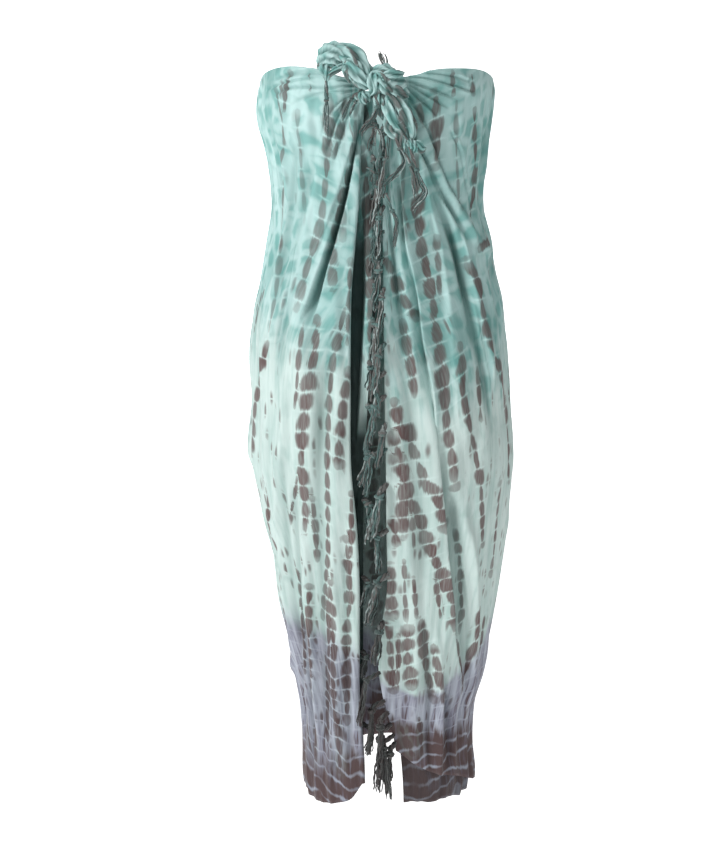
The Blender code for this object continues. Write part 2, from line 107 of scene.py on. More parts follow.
# How far along, and the height of the rim or hem there. The fronts go from their edge to the side line, and
# the back from the left side line to the right one.
LEFT_RIM = ((0, 2), (0.1, 9), (0.2, 17), (0.35, 24), (0.5, 26), (0.7, 23), (0.88, 15), (1, 4))
RIGHT_RIM = ((0, 9), (0.08, 13), (0.2, 20), (0.4, 23), (0.6, 23), (0.8, 18), (1, 11))
BACK_RIM = ((0, 4), (0.25, 8), (0.5, 10), (0.75, 10), (1, 11))
LEFT_HEM = ((0, -990), (0.1, -1013), (0.25, -1023), (0.45, -1028), (0.7, -1026), (1, -1016))
RIGHT_HEM = ((0, -938), (0.12, -960), (0.3, -978), (0.5, -986), (0.75, -1001), (1, -1014))
BACK_HEM = ((0, -1016), (0.25, -990), (0.5, -976), (0.75, -988), (1, -1014))

# Creases of the front. Each has its reach to its left and right, how much it widens from start to end,
# its depth, inward where negative, how far its lip leans to the right, and its path: across and height.
FRONT_CREASES = (
    ("ribbon beside the deep fold", 3.5, 8, 1.7, 5, -3,
     ((-22, -40), (-29, -72), (-36, -112), (-46, -166), (-62, -218), (-80, -272), (-100, -322))),
    ("outer lip of the deep fold", 8, 3, 1.5, 4, 2,
     ((-34, -50), (-46, -90), (-60, -140), (-78, -190), (-98, -240), (-118, -290))),
    ("left breast swell", 12, 12, 1.3, 5, 0, ((-60, -26), (-84, -44), (-112, -60), (-140, -80))),
    ("left soft fall 1", 13, 9, 1.4, -6, 0, ((-92, -100), (-112, -210), (-136, -320), (-150, -430))),
    ("left soft fall 2", 6, 9, 1.2, -4.5, 0, ((-118, -60), (-124, -150), (-140, -250), (-160, -340))),
    ("left diagonal ridge", 6, 8, 1.4, 4.5, 0, ((-72, -60), (-96, -150), (-122, -250), (-150, -350))),
    ("left hip swell", 12, 12, 1.2, 5, 0, ((-104, -300), (-118, -400), (-122, -520))),
    ("left long trough", 9, 7, 1.3, -7, 0,
     ((-66, -330), (-80, -440), (-86, -560), (-84, -700), (-80, -860), (-74, -1024))),
    ("left long ridge", 7, 9, 1.2, 6, 0,
     ((-58, -400), (-66, -560), (-64, -720), (-58, -900), (-54, -1020))),
    ("left hem trough 1", 7, 6, 1.2, -7, 0, ((-122, -560), (-116, -700), (-102, -860), (-96, -1020))),
    ("left hem trough 2", 5, 5, 1.3, -5, 0, ((-50, -640), (-46, -800), (-42, -1015))),
    ("left hem ridge", 7, 7, 1.2, 6, 0, ((-104, -620), (-98, -780), (-86, -930), (-84, -1020))),
    ("left side trough", 7, 8, 1.3, -6, 0, ((-138, -500), (-134, -640), (-118, -800), (-106, -1000))),
    ("left side ridge", 7, 6, 1.3, 5, 0, ((-152, -470), (-146, -620), (-130, -780), (-114, -990))),
    ("right shoulder trough", 4, 9, 1.7, -13, 0,
     ((24, -30), (44, -64), (62, -98), (84, -136), (104, -178), (122, -214))),
    ("right shoulder ridge", 5, 8, 1.5, 12, -3,
     ((46, -58), (60, -84), (80, -122), (101, -160), (128, -204), (146, -232))),
    ("right shoulder hollow", 7, 6, 1.5, -7, 0,
     ((62, -112), (78, -156), (98, -206), (116, -262), (126, -320))),
    ("right bulge", 12, 14, 1, 6, 0, ((140, -205), (150, -222), (154, -236))),
    ("long right crease", 1.6, 9, 1.4, 8, -4,
     ((26, -92), (31, -148), (37, -212), (46, -250), (55, -291), (62, -346), (75, -416), (81, -472),
      (84, -528), (90, -600))),
    ("long right hollow", 7, 1.6, 1.3, -7, 0,
     ((22, -92), (28, -148), (34, -212), (43, -250), (52, -291), (59, -346), (72, -416), (78, -472),
      (81, -528), (87, -600))),
    ("second right ridge", 6, 9, 1.3, 6, -2,
     ((52, -98), (72, -170), (88, -236), (99, -330), (106, -410), (114, -520))),
    ("right soft band", 10, 4, 1.3, -10, 3,
     ((92, -180), (108, -240), (130, -330), (148, -410), (160, -500))),
    ("right hip ridge", 5, 8, 1.2, 7, -2, ((112, -196), (132, -280), (154, -370), (168, -450))),
    ("right inner trough", 5, 6, 1.4, -8, 0, ((14, -190), (23, -262), (30, -318), (32, -380))),
    ("right inner ridge", 5, 5, 1.4, 5, 0, ((26, -230), (34, -290), (42, -360), (50, -440))),
    ("right middle fall", 9, 7, 1.3, -6, 0, ((28, -330), (40, -430), (52, -540), (62, -650), (66, -760))),
    ("right middle ridge", 8, 8, 1.3, 5, 0, ((20, -380), (32, -500), (42, -620), (50, -760), (54, -900))),
    ("right lower fall", 7, 9, 1.2, -8, 0, ((100, -560), (112, -660), (120, -760), (124, -870))),
    ("right lower ridge", 8, 7, 1.2, 8, 0, ((124, -600), (136, -700), (136, -800), (128, -900))),
    ("low right valley", 2, 11, 1.2, -9, 0,
     ((76, -440), (82, -510), (89, -575), (97, -658), (107, -745), (118, -833))),
    ("low right lip", 9, 2, 1.2, 6, 3,
     ((72, -440), (78, -510), (85, -575), (93, -658), (103, -745), (114, -833))),
    ("right hem trough 1", 5, 6, 1.3, -6, 0, ((60, -740), (70, -860), (72, -990))),
    ("right hem trough 2", 5, 5, 1.3, -5.5, 0, ((92, -820), (100, -920), (102, -1004))),
    ("right hem ridge", 6, 6, 1.2, 5, 0, ((80, -760), (88, -880), (88, -1000))),
    ("right edge curl", 6, 6, 1.2, 2.5, 0, ((6, -640), (-1, -780), (8, -860), (22, -930))),
)

# Folds with a flat floor between steep walls, in the same columns.
DEEP_FOLDS = (
    ("deep left fold", 4.2, 4.2, 3.4, -17, 0,
     ((-20, -26), (-27, -52), (-33, -80), (-41, -118), (-51, -160), (-63, -202), (-76, -242), (-92, -288),
      (-108, -330), (-122, -366))),
    ("slit under the knot", 2.4, 2.4, 1.4, -9, 0, ((18, -12), (27, -36), (36, -58), (44, -78))),
)

# Pleats, where one roll of cloth laps the next: how deep the line between them is, how high and how wide the
# roll beside it is, and the path. A width above 0 lies to the right of a path that runs down, and below one
# that runs left, and a width below 0 on the other side.
PLEATS = (
    ("left rim 1", 2.4, 2.2, -5, ((-43, 17), (-82, 19), (-113, 18), (-135, 14), (-150, 6))),
    ("left rim 2", 3.4, 2.6, 5, ((-26, 5), (-44, 10), (-82, 13), (-108, 14), (-128, 12), (-154, 8))),
    ("left rim 3", 3.2, 2.4, 5, ((-32, 2), (-59, 6), (-83, 9), (-116, 6), (-140, 2), (-162, -6))),
    ("left rim 4", 3.8, 3, 6, ((-25, -3), (-48, -3), (-70, -6), (-106, -4), (-127, -5), (-150, -12))),
    ("left rim 5", 3, 2.2, 6, ((-28, -8), (-50, -10), (-79, -12), (-101, -17), (-128, -25))),
    ("left breast 1", 4, 3, 7, ((-26, -11), (-43, -19), (-56, -37), (-67, -68), (-75, -101))),
    ("left breast 2", 4, 3, 7, ((-26, -16), (-40, -32), (-51, -59), (-59, -88), (-67, -117))),
    ("left breast 3", 3, 2.4, 7, ((-28, -10), (-52, -22), (-72, -46), (-86, -84))),
    ("right rim 1", 2.8, 2.4, 5, ((29, 11), (65, 15), (100, 12), (130, 4))),
    ("right rim 2", 3.6, 2.6, -5, ((29, 9), (59, 7), (96, -1), (133, -9))),
    ("right rim 3", 3.4, 2.6, -5, ((27, 6), (52, -2), (79, -11), (106, -19))),
    ("right rim 4", 3.2, 2.4, -5, ((26, 5), (46, -6), (70, -20), (96, -32))),
    ("right rim 5", 4, 3, -6, ((24, 4), (40, -11), (58, -26), (78, -44))),
    ("right shoulder 1", 4.5, 3.5, -7,
     ((22, 0), (36, -19), (59, -54), (74, -88), (94, -134), (111, -161), (138, -198))),
    ("right shoulder 2", 3.5, 2.5, -6, ((46, -70), (60, -100), (78, -140), (100, -176), (126, -216))),
    ("right side 1", 2.6, 2, 5, ((96, -60), (108, -87), (114, -114), (123, -148), (126, -180))),
    ("right edge", 4, 2.5, 6, ((6, -60), (8, -130), (13, -195), (22, -270), (29, -325), (30, -352))),
    ("left thin line", 2, 1.4, 5, ((-118, -210), (-126, -260), (-140, -320), (-152, -380))),
    ("left low line", 1.8, 1.2, 5, ((-33, -560), (-36, -600), (-35, -640))),
    ("left hem fold", 2.6, 1.8, 5, ((-26, -940), (-50, -957), (-76, -968), (-89, -982))),
    ("left side line", 2.4, 1.6, 5, ((-108, -640), (-112, -720), (-106, -800), (-98, -880))),
    ("right low line", 2.4, 1.8, 6, ((112, -640), (124, -720), (128, -790), (124, -880))),
)
PLEAT_LINE = 1.7
PLEAT_DEPTH = 1.9
PLEAT_ROLL = 1.5
# How steep the walls of a crease are: a soft one's, and those of one with a flat floor.
SOFT = 2
FLAT = 5

# Creases of the sides and the back, whose paths are degrees round the tube and heights.
BACK_CREASES = (
    ("back rim gather 1", 3, 3, 1, -2.4, 0, ((118, 2), (150, 0), (179, -4))),
    ("back rim gather 2", 3, 3, 1, -2.4, 0, ((-118, -6), (-150, -3), (-179, -4))),
    ("back rim gather 3", 3, 4, 1, -2.6, 0, ((112, -18), (140, -22), (168, -20))),
    ("back rim gather 4", 3, 4, 1, -2.6, 0, ((-112, -24), (-142, -18), (-170, -24))),
    ("back fall 1", 10, 13, 1.4, -7, 0, ((-148, -20), (-152, -260), (-158, -620), (-160, -1000))),
    ("back ridge 1", 11, 9, 1.3, 6, 0, ((-163, -10), (-166, -300), (-169, -680), (-170, -980))),
    ("back fall 2", 9, 10, 1.3, -5, 0, ((-174, -60), (-175, -400), (-176, -960))),
    ("back fall 3", 10, 9, 1.4, -6, 0, ((172, -20), (170, -300), (168, -700), (166, -980))),
    ("back ridge 3", 10, 12, 1.2, 5, 0, ((160, -30), (158, -320), (157, -660), (157, -990))),
    ("back fall 4", 12, 9, 1.4, -7, 0, ((148, -10), (144, -300), (146, -640), (150, -1000))),
    ("back ridge 4", 9, 9, 1.2, 5, 0, ((136, -40), (130, -340), (132, -700), (138, -1000))),
    ("back fall 5", 9, 9, 1.4, -6, 0, ((124, -60), (118, -360), (120, -700), (126, -1000))),
    ("back ridge 5", 9, 9, 1.2, 5, 0, ((-136, -40), (-132, -340), (-136, -700), (-142, -1000))),
    ("back fall 6", 9, 9, 1.4, -6, 0, ((-124, -60), (-118, -360), (-122, -700), (-128, -1000))),
    ("left side fold", 3, 8, 1.2, 4, 0, ((-100, -430), (-93, -490), (-84, -560))),
    ("left side hollow", 8, 3, 1.2, -3, 0, ((-104, -440), (-97, -500), (-88, -570))),
    ("left side fall", 7, 7, 1.2, -4, 0, ((-100, -600), (-101, -760), (-104, -1000))),
    ("right side fall", 7, 7, 1.2, -4, 0, ((98, -520), (98, -760), (101, -1000))),
    ("right side ridge", 7, 6, 1.2, 4, 0, ((88, -600), (86, -760), (88, -900))),
)

# Fine upright gathers under the rim at each side: first and last degree, how many, top and bottom height.
GATHER_GROUPS = (
    (-124, -62, 19, 16, -230),
    (60, 124, 20, 16, -240),
)

# Dyed chains of the front: half a mark's width, how strong it is and its path, across and height.
FRONT_CHAINS = (
    (5.5, 0.62, ((-70, -15), (-72, -88), (-81, -171), (-88, -202), (-106, -256), (-117, -304))),
    (5, 0.7, ((-40, -108), (-60, -175), (-63, -209), (-66, -277))),
    (3, 0.75, ((-107, -325), (-109, -346), (-115, -401), (-119, -443))),
    (6.5, 0.95,
     ((-89, -315), (-92, -359), (-97, -387), (-101, -419), (-105, -450), (-110, -485), (-111, -527),
      (-107, -576), (-107, -619))),
    (4, 0.95,
     ((-50, -304), (-59, -343), (-66, -373), (-70, -401), (-75, -471), (-75, -541), (-74, -598),
      (-74, -647), (-78, -690), (-84, -748))),
    (4.5, 0.8, ((-43, -387), (-50, -429), (-55, -471), (-58, -522))),
    (3, 0.8, ((-118, -541), (-130, -609))),
    (3.5, 0.75, ((-96, -569), (-93, -612), (-91, -662))),
    (5.5, 0.95, ((-48, -626), (-44, -698), (-48, -770), (-48, -830), (-48, -900))),
    (5.5, 1, ((-71, -690), (-67, -760), (-66, -830), (-63, -912))),
    (5, 1, ((-74, -700), (-73, -770), (-75, -850), (-77, -900))),
    (5.5, 1, ((-100, -700), (-101, -770), (-97, -830))),
    (4.5, 1, ((112, -780), (118, -825), (121, -860))),
    (4.5, 1, ((31, -905), (38, -925), (47, -945))),
    (4, 1, ((56, -890), (59, -915), (60, -945))),
    (6.5, 1, ((-60, -890), (-59, -925), (-58, -972))),
    (4, 0.9, ((-80, -800), (-79, -860), (-77, -930))),
    (3.5, 0.9, ((-26, -860), (-28, -905))),
    (4, 0.8, ((-169, -288), (-176, -316), (-180, -338))),
    (5.5, 0.9, ((-160, -352), (-172, -402), (-179, -453), (-182, -518))),
    (4.5, 0.85, ((-162, -562), (-160, -622), (-149, -657), (-138, -708))),
    (5, 0.85, ((-122, -676), (-118, -712), (-112, -770))),
    (5.5, 1, ((-98, -825), (-96, -880), (-93, -965))),
    (4, 0.9, ((-112, -850), (-108, -905), (-102, -960))),
    (4, 0.95, ((-118, -690), (-115, -760), (-110, -835))),
    (4, 0.6, ((-145, -4), (-134, -58), (-137, -120), (-139, -196))),
    (3, 0.4, ((-114, -35), (-110, -101), (-107, -168))),
    (4.5, 0.65, ((-49, -15), (-55, -61), (-66, -101))),
    (3, 0.45, ((-136, -209), (-146, -265), (-158, -338))),
    (4, 0.75, ((-124, 16), (-130, -4), (-133, -34))),
    (3.5, 0.5, ((-32, -22), (-40, -88), (-47, -155), (-51, -209))),
    (3.5, 0.7, ((-41, -236), (-44, -304), (-47, -352))),
    (6.5, 0.9,
     ((45, -88), (48, -128), (53, -189), (56, -218), (63, -247), (73, -304), (78, -339), (86, -390),
      (93, -459), (100, -513), (104, -555))),
    (5.5, 0.7, ((76, -205), (78, -243), (81, -284))),
    (5.5, 0.85, ((5, -229), (19, -263), (31, -291), (51, -315))),
    (5, 0.8, ((29, -318), (41, -380), (44, -408), (47, -426))),
    (7, 0.9, ((19, -429), (26, -459), (38, -482), (50, -510), (60, -538), (73, -565), (91, -612))),
    (6.5, 0.95,
     ((119, -239), (136, -272), (142, -307), (150, -345), (162, -374), (171, -398), (177, -431),
      (180, -468))),
    (5.5, 0.9,
     ((109, -352), (112, -376), (113, -415), (118, -445), (128, -480), (134, -508), (142, -563),
      (146, -643))),
    (3.5, 0.75, ((136, -384), (139, -420), (141, -462))),
    (7, 0.95,
     ((24, -506), (34, -541), (45, -576), (55, -600), (65, -626), (75, -652), (83, -673), (94, -700),
      (99, -729), (107, -763))),
    (5, 0.8, ((12, -662), (15, -698), (18, -738))),
    (4, 0.8, ((107, -612), (114, -654), (120, -726), (118, -770))),
    (4.5, 0.8, ((17, -598), (24, -633))),
    (5, 0.8, ((17, -474), (25, -505), (31, -532), (32, -575), (30, -622))),
    (3.5, 0.7, ((45, -590), (47, -640))),
    (2.5, 0.7, ((33, -655), (34, -700), (36, -745))),
    (2.5, 0.7, ((46, -680), (51, -738))),
    (3.5, 0.8, ((78, -688), (86, -742))),
    (4.5, 0.85, ((13, -752), (15, -795), (20, -850))),
    (3, 0.8, ((25, -768), (26, -805), (24, -850))),
    (7, 0.85, ((39, -755), (39, -799), (46, -843))),
    (7, 0.9, ((57, -744), (62, -784), (69, -828), (79, -865))),
    (7, 0.9, ((76, -784), (85, -838), (93, -869))),
    (7, 0.75, ((72, -11), (74, -35), (75, -61), (75, -108))),
    (4, 0.6, ((49, -22), (57, -55))),
    (5, 0.8, ((128, -31), (130, -86), (127, -154), (124, -189))),
    (3, 0.5, ((102, -22), (104, -101), (110, -168))),
    (6, 0.8, ((150, -209), (138, -223))),
    (4, 0.5, ((32, -101), (31, -155), (35, -209))),
    (4.5, 0.75, ((96, 18), (98, -12))),
    (5, 0.85, ((180, -438), (185, -497), (186, -555))),
    (5, 0.8, ((171, -555), (166, -629), (161, -688))),
    (5, 0.85, ((153, -753), (147, -797))),
    (5.5, 1, ((140, -735), (133, -790), (124, -840))),
    (3.5, 0.75, ((124, 14), (126, -10))),
    (3, 0.7, ((-98, 14), (-96, -8))),
    (4, 0.9, ((-40, -560), (-41, -610), (-43, -650))),
)
BACK_CHAIN_COUNT = 16
# Distance below the knot, and how far apart the ties are there.
CHAIN_PITCHES = ((-200, 31), (380, 30), (560, 26.5), (720, 20.5), (1100, 22))
# On the knot's bands, half a mark's width and how far apart the ties are.
BAND_MARK = 4.5
BAND_PITCH = 24
# How deep a crease would be for the shade painted into it to be as dark as the painted shadow down the front
# gap, and how dark that painted shade may be at most.
FOLD_SHADE_DEPTH = 22
PAINTED_SHADE_LIMIT = 0.62

# Across, and the heights where teal gives way to mint, mint to grey-lavender and that to brown.
BANDS = (
    (-190, -330, -742, -965),
    (-110, -352, -752, -985),
    (-40, -395, -790, -960),
    (0, -400, -840, -900),
    (60, -430, -852, -920),
    (130, -415, -800, -930),
    (190, -360, -740, -950),
)

# The knot's wound cloth. Each band has its grooves, how deep they are, its twist in turns, and its course:
# across, forward of the tube's middle, up, half its width and half its thickness.
KNOT_BANDS = (
    ("core", 5, 0.10, 0.3,
     ((-20, 128, -3, 5, 5), (-12, 132, 1, 12, 9), (4, 136, -1, 16, 13), (20, 134, -1, 13, 9),
      (32, 126, 2, 6, 5))),
    ("upper roll", 6, 0.16, 0.6,
     ((-20, 128, -4, 4, 4), (-14, 134, 6, 8, 7), (-3, 137, 13, 9, 7), (10, 136, 12, 8, 6),
      (20, 130, 4, 4, 4))),
    ("front wrap", 5, 0.18, 0.4,
     ((-12, 133, 15, 3, 3), (-14, 141, 8, 7, 5), (-12, 147, -2, 8, 5), (-10, 144, -12, 6, 5),
      (-14, 134, -20, 3, 3))),
    ("centre wrap", 5, 0.2, -0.5,
     ((-8, 136, 14, 3, 3), (-2, 145, 6, 7, 5), (3, 148, -4, 8, 6), (9, 144, -12, 6, 5),
      (14, 133, -18, 3, 3))),
    ("right point", 4, 0.2, 0.5,
     ((-4, 140, -2, 3, 3), (4, 146, 4, 6, 4), (14, 144, 8, 6, 4), (24, 138, 11, 4, 2.5),
      (31, 134, 13, 0.8, 0.8))),
    ("right gather", 5, 0.18, 0.3,
     ((6, 138, -6, 5, 4), (16, 140, -10, 8, 6), (26, 134, -14, 8, 5), (36, 126, -17, 4, 3))),
    ("small left knot", 4, 0.22, 0.8,
     ((-33, 134, -13, 2, 2), (-29, 139, -18, 6, 5), (-22, 140, -21, 6, 5), (-17, 134, -25, 2, 2))),
    ("small knot loop", 3, 0.15, 0.8,
     ((-26, 138, -10, 2, 2), (-30, 143, -17, 3, 3), (-26, 144, -25, 3.4, 3), (-20, 140, -28, 2, 2))),
    ("tail under the knot", 5, 0.22, 0.3,
     ((-4, 140, -12, 3, 3), (-3, 144, -24, 6, 3.5), (-1, 142, -38, 5, 2.6), (1, 138, -50, 1, 1))),
    ("tail beside it", 5, 0.22, -0.4,
     ((4, 138, -12, 3, 3), (12, 143, -26, 6, 4), (13, 143, -44, 5, 3.4), (7, 140, -60, 4, 3),
      (9, 136, -72, 1, 1))),
)
FAN_BANDS = (
    ("roll up from the knot", 6, 0.13, 0.25,
     ((-13, 134, -5, 5, 4), (-24, 137, 8, 12, 8), (-33, 138, 22, 15, 10), (-43, 137, 33, 15, 10),
      (-56, 136, 38, 12, 9), (-66, 135, 36, 6, 5))),
    ("inner roll", 5, 0.16, -0.3,
     ((-16, 138, -8, 4, 3), (-25, 144, 0, 8, 6), (-34, 147, 10, 10, 6), (-42, 146, 21, 9, 5),
      (-50, 142, 28, 3, 3))),
    ("puffed end", 7, 0.12, 0.5,
     ((-46, 134, 34, 5, 5), (-56, 137, 37, 13, 9), (-67, 138, 34, 16, 10), (-76, 136, 26, 12, 7),
      (-80, 133, 18, 4, 3))),
    ("turned-back fold", 5, 0.2, 0.4,
     ((-78, 135, 28, 5, 4), (-77, 140, 18, 7, 4), (-74, 140, 9, 4, 3), (-73, 137, 1, 2.4, 2.2))),
    ("lower fold", 4, 0.2, 0.3,
     ((-73, 138, 4, 2, 2), (-66, 142, 12, 3.4, 2.4), (-56, 143, 19, 4, 2.6), (-50, 140, 22, 2, 2))),
    ("hanging fold", 4, 0.2, 0.2,
     ((-50, 140, 24, 3, 3), (-47, 144, 14, 5, 3), (-44, 142, 4, 3, 2), (-42, 138, -2, 1, 1))),
)
LOOP_BANDS = (
    ("outer leaf", 4, 0.18, 0.3,
     ((4, 137, -14, 3, 3), (17, 142, -24, 6, 4), (29, 144, -42, 8, 4.5), (37, 143, -62, 7, 4),
      (39, 142, -78, 3.4, 3))),
    ("inner leaf", 4, 0.2, -0.3,
     ((2, 138, -16, 3, 3), (8, 145, -34, 7, 4.5), (15, 147, -52, 8, 4.5), (26, 146, -68, 6, 4),
      (36, 143, -80, 3, 3))),
    ("rear leaf", 4, 0.18, 0.2,
     ((14, 132, -20, 4, 3), (26, 132, -40, 10, 4), (36, 132, -62, 9, 4), (39, 137, -79, 3, 3))),
    ("pinched end", 5, 0.2, 0.6,
     ((34, 142, -74, 3, 3), (38, 145, -80, 5, 4.4), (42, 145, -86, 5, 4), (44, 141, -93, 2.4, 2.4))),
    ("flap", 4, 0.2, 0.3,
     ((38, 141, -80, 3, 2), (46, 143, -83, 6, 2.6), (54, 141, -87, 5, 2), (60, 138, -86, 0.8, 0.8))),
    ("twisted leaf", 4, 0.24, 0.9,
     ((8, 143, -44, 2, 2), (8, 148, -58, 5, 3.6), (14, 150, -66, 6, 4), (23, 149, -70, 5, 4),
      (27, 147, -84, 4, 3.2), (30, 144, -96, 1.6, 1.6))),
)

# How much deeper all the grooves are made, and how finely a band and its course are divided.
GROOVE_STRENGTH = 1.45
BAND_RINGS = 44
BAND_SIDES = 44

# Tassels: how full, how thick, and the course across, forward and up. The first part is wound to a knot.
LOOP_TASSELS = (
    (12, 1.1, ((14, 147, -56), (22, 150, -84), (30, 148, -104), (22, 146, -118), (2, 142, -139))),
    (16, 1.2, ((37, 146, -84), (44, 149, -108), (52, 147, -132), (58, 144, -146), (42, 141, -168))),
    (14, 1.1, ((31, 147, -88), (38, 150, -110), (44, 148, -130), (46, 146, -150))),
    (14, 1.2, ((10, 140, -70), (6, 142, -98), (2, 143, -122), (-4, 141, -156))),
    (16, 1.2, ((6, 139, -146), (12, 143, -166), (20, 143, -184), (16, 141, -216))),
)
KNOT_TASSELS = (
    (12, 1.2, ((-10, 141, -12), (-6, 147, -30), (-11, 148, -46), (-28, 145, -68))),
    (12, 1.1, ((-8, 139, -22), (4, 143, -40), (8, 143, -56), (-2, 141, -68))),
    (6, 0.9, ((-24, 141, -60), (-12, 145, -58), (-1, 145, -68), (1, 142, -88))),
    (6, 0.8, ((-20, 134, -112), (-11, 137, -118), (-10, 137, -130), (-16, 136, -150))),
)
LEFT_KNOT_TASSELS = (
    (10, 1.0, ((-28, 139, -14), (-38, 137, -18), (-46, 134, -32), (-53, 131, -48))),
    (6, 0.9, ((-28, 138, -18), (-36, 136, -27), (-40, 133, -36), (-43, 131, -44))),
)
FAN_TASSELS = (
    (5, 1.0, ((-74, 138, 4), (-75, 137, -16), (-73, 134, -36), (-75, 131, -74))),
    (5, 0.9, ((-74, 137, 2), (-73, 136, -18), (-76, 133, -38), (-71, 130, -62))),
)
UPPER_TUFT = (
    (6, 1.5, ((8, 134, 4), (5, 134, 16), (1, 134, 28), (-4, 134, 41))),
    (5, 1.3, ((9, 134, 4), (7, 134, 16), (5, 134, 28), (1, 134, 40))),
)
# How much of a tassel's length is wound, at the knot and down the edges, and how finely a strand is divided.
TASSEL_WOUND = 0.35
LOCK_WOUND = 0.28
STRAND_RINGS = 14
STRAND_SIDES = 6

# Locks along a cut edge, in turn: how far they hang aside and forward, how long they are, and how they drift.
LOCK_LANES = (
    (12, 8, 60, -12),
    (4, 12, 50, -6),
    (18, 9, 56, -8),
    (8, 12, 64, -15),
    (14, 6, 48, 2),
)
RIGHT_LOCK_STEP = 31
LEFT_LOCK_STEP = 46
# The lowest locks of the right edge, each with its height first.
LOW_LOCKS = (
    (-862, 16, 4, 62, -6),
    (-880, 10, 9, 78, 2),
    (-898, 15, 6, 84, -4),
    (-914, 12, 9, 80, 8),
    (-926, 6, 5, 52, -2),
)


def mix(a, b, share):
    return a + (b - a) * share


def smooth_step(low, high, value):
    share = np.clip((value - low) / (high - low), 0, 1)
    return share * share * (3 - 2 * share)


def read_table(rows, keys):
    """The other columns of a table at each key, on a smooth curve through its rows."""
    table = np.array(rows, float)
    if table[0, 0] > table[-1, 0]:
        table = table[::-1]
    keys = np.asarray(keys, float)
    last = len(table) - 1
    i = np.clip(np.searchsorted(table[:, 0], keys) - 1, 0, last - 1)
    before, start, end, after = (table[np.clip(i + k, 0, last)] for k in (-1, 0, 1, 2))
    span = end[..., :1] - start[..., :1]
    t = np.clip((keys[..., None] - start[..., :1]) / span, 0, 1)
    slope_in = (end - before) / (end - before)[..., :1] * span
    slope_out = (after - start) / (after - start)[..., :1] * span
    value = ((2 * t**3 - 3 * t**2 + 1) * start + (t**3 - 2 * t**2 + t) * slope_in
             + (3 * t**2 - 2 * t**3) * end + (t**3 - t**2) * slope_out)
    return [value[..., c] for c in range(1, table.shape[1])]


def course(rows, count=None):
    """A smooth course through a table's rows, with its columns, at evenly spaced places."""
    table = np.array(rows, float)
    spans = len(table) - 1
    keys = np.linspace(0, spans, count or 8 * spans + 1)
    return np.stack(read_table(np.column_stack([np.arange(spans + 1), table]), keys), -1)


def lengths_along(points):
    """How far along a course each of its points lies."""
    return np.concatenate([[0], np.cumsum(np.linalg.norm(np.diff(points, axis=0), axis=1))])


def signed_power(value, power):
    return np.sign(value) * np.abs(value) ** power


def angle_at(across, height):
    """The angle round the tube at which the front passes a place across."""
    left, right, _, _ = read_table(SECTIONS, height)
    share = (across - (left + right) / 2) / ((right - left) / 2)
    return np.arcsin(np.clip(signed_power(share, ROUNDNESS / 2), -1, 1))


def front_path(points):
    """A path given across and in height at the front, as arc and height."""
    points = course(points)
    return np.column_stack([angle_at(points[:, 0], points[:, 1]) * ARC, points[:, 1]])


def round_path(points):
    """A path given in degrees round the tube and in height, as arc and height."""
    points = course(points)
    return np.column_stack([np.radians(points[:, 0]) * ARC, points[:, 1]])


def path_places(path, arc, height, reach):
    """The points near a path: which they are, their signed distance to its right, and how far along."""
    low, high = path.min(0) - reach, path.max(0) + reach
    near = np.flatnonzero((arc > low[0]) & (arc < high[0]) & (height > low[1]) & (height < high[1]))
    gap = np.full(len(near), 1e9)
    side = np.zeros(len(near))
    along = np.zeros(len(near))
    steps = np.linalg.norm(np.diff(path, axis=0), axis=1)
    starts = np.concatenate([[0], np.cumsum(steps)])
    px, pz = arc[near], height[near]
    for k in range(len(path) - 1):
        (ax, az), (bx, bz) = path[k], path[k + 1]
        t = np.clip(((px - ax) * (bx - ax) + (pz - az) * (bz - az)) / steps[k] ** 2, 0, 1)
        distance = np.hypot(px - mix(ax, bx, t), pz - mix(az, bz, t))
        better = distance < gap
        gap[better] = distance[better]
        side[better] = (((bx - ax) * (pz - az) - (bz - az) * (px - ax))[better]) >= 0
        along[better] = (starts[k] + t * steps[k])[better]
    return near, gap * np.where(side > 0, 1, -1), along, starts[-1]


def make_creases():
    """Every crease: its reach to the left and right, widening, depth, lean of its lip, steepness and path."""
    creases = [((*row[1:-1], SOFT), front_path(row[-1])) for row in FRONT_CREASES]
    creases += [((*row[1:-1], FLAT), front_path(row[-1])) for row in DEEP_FOLDS]
    creases += [((*row[1:-1], SOFT), round_path(row[-1])) for row in BACK_CREASES]
    for _, line, roll, width, points in PLEATS:
        path = front_path(points)
        creases.append(((PLEAT_LINE, PLEAT_LINE, 1.5, -line * PLEAT_DEPTH, 0, SOFT), path))
        left, right = (1, width) if width > 0 else (-width, 1)
        creases.append(((left, right, 1.5, roll * PLEAT_ROLL, 0, SOFT), path))
    chance = np.random.default_rng(SEED)
    for first, last, count, top, bottom in GATHER_GROUPS:
        for k in range(count):
            place = mix(first, last, (k + chance.uniform(0.2, 0.8)) / count)
            sway = chance.uniform(-3, 3)
            low = mix(top, bottom, chance.uniform(0.6, 1))
            high = top - chance.uniform(0, 26)
            depth = chance.uniform(1.6, 3.4) * (-1 if k % 2 else 0.8)
            path = round_path(((place, high), (place + sway * 0.4, mix(high, low, 0.5)), (place + sway, low)))
            creases.append(((1.7, 1.7, 1.3, depth, 0, SOFT), path))
    return creases


CREASES = make_creases()


def crease_moves(arc, height):
    """How far the creases move each point out of the plain section, and round it."""
    out = np.zeros(arc.shape)
    lean = np.zeros(arc.shape)
    for (left, right, spread, depth, lip, steepness), path in CREASES:
        near, gap, along, length = path_places(path, arc, height, 3 * max(left, right) * max(1, spread))
        place = along / length
        reach = np.where(gap < 0, left, right) * mix(1 / math.sqrt(spread), math.sqrt(spread), place)
        fade = smooth_step(-0.04, 0.1, place) * smooth_step(0, 0.3, 1 - place)
        shape = np.exp(-np.abs(gap / reach) ** steepness) * fade
        out[near] += depth * shape
        lean[near] += lip * shape
    return out, lean


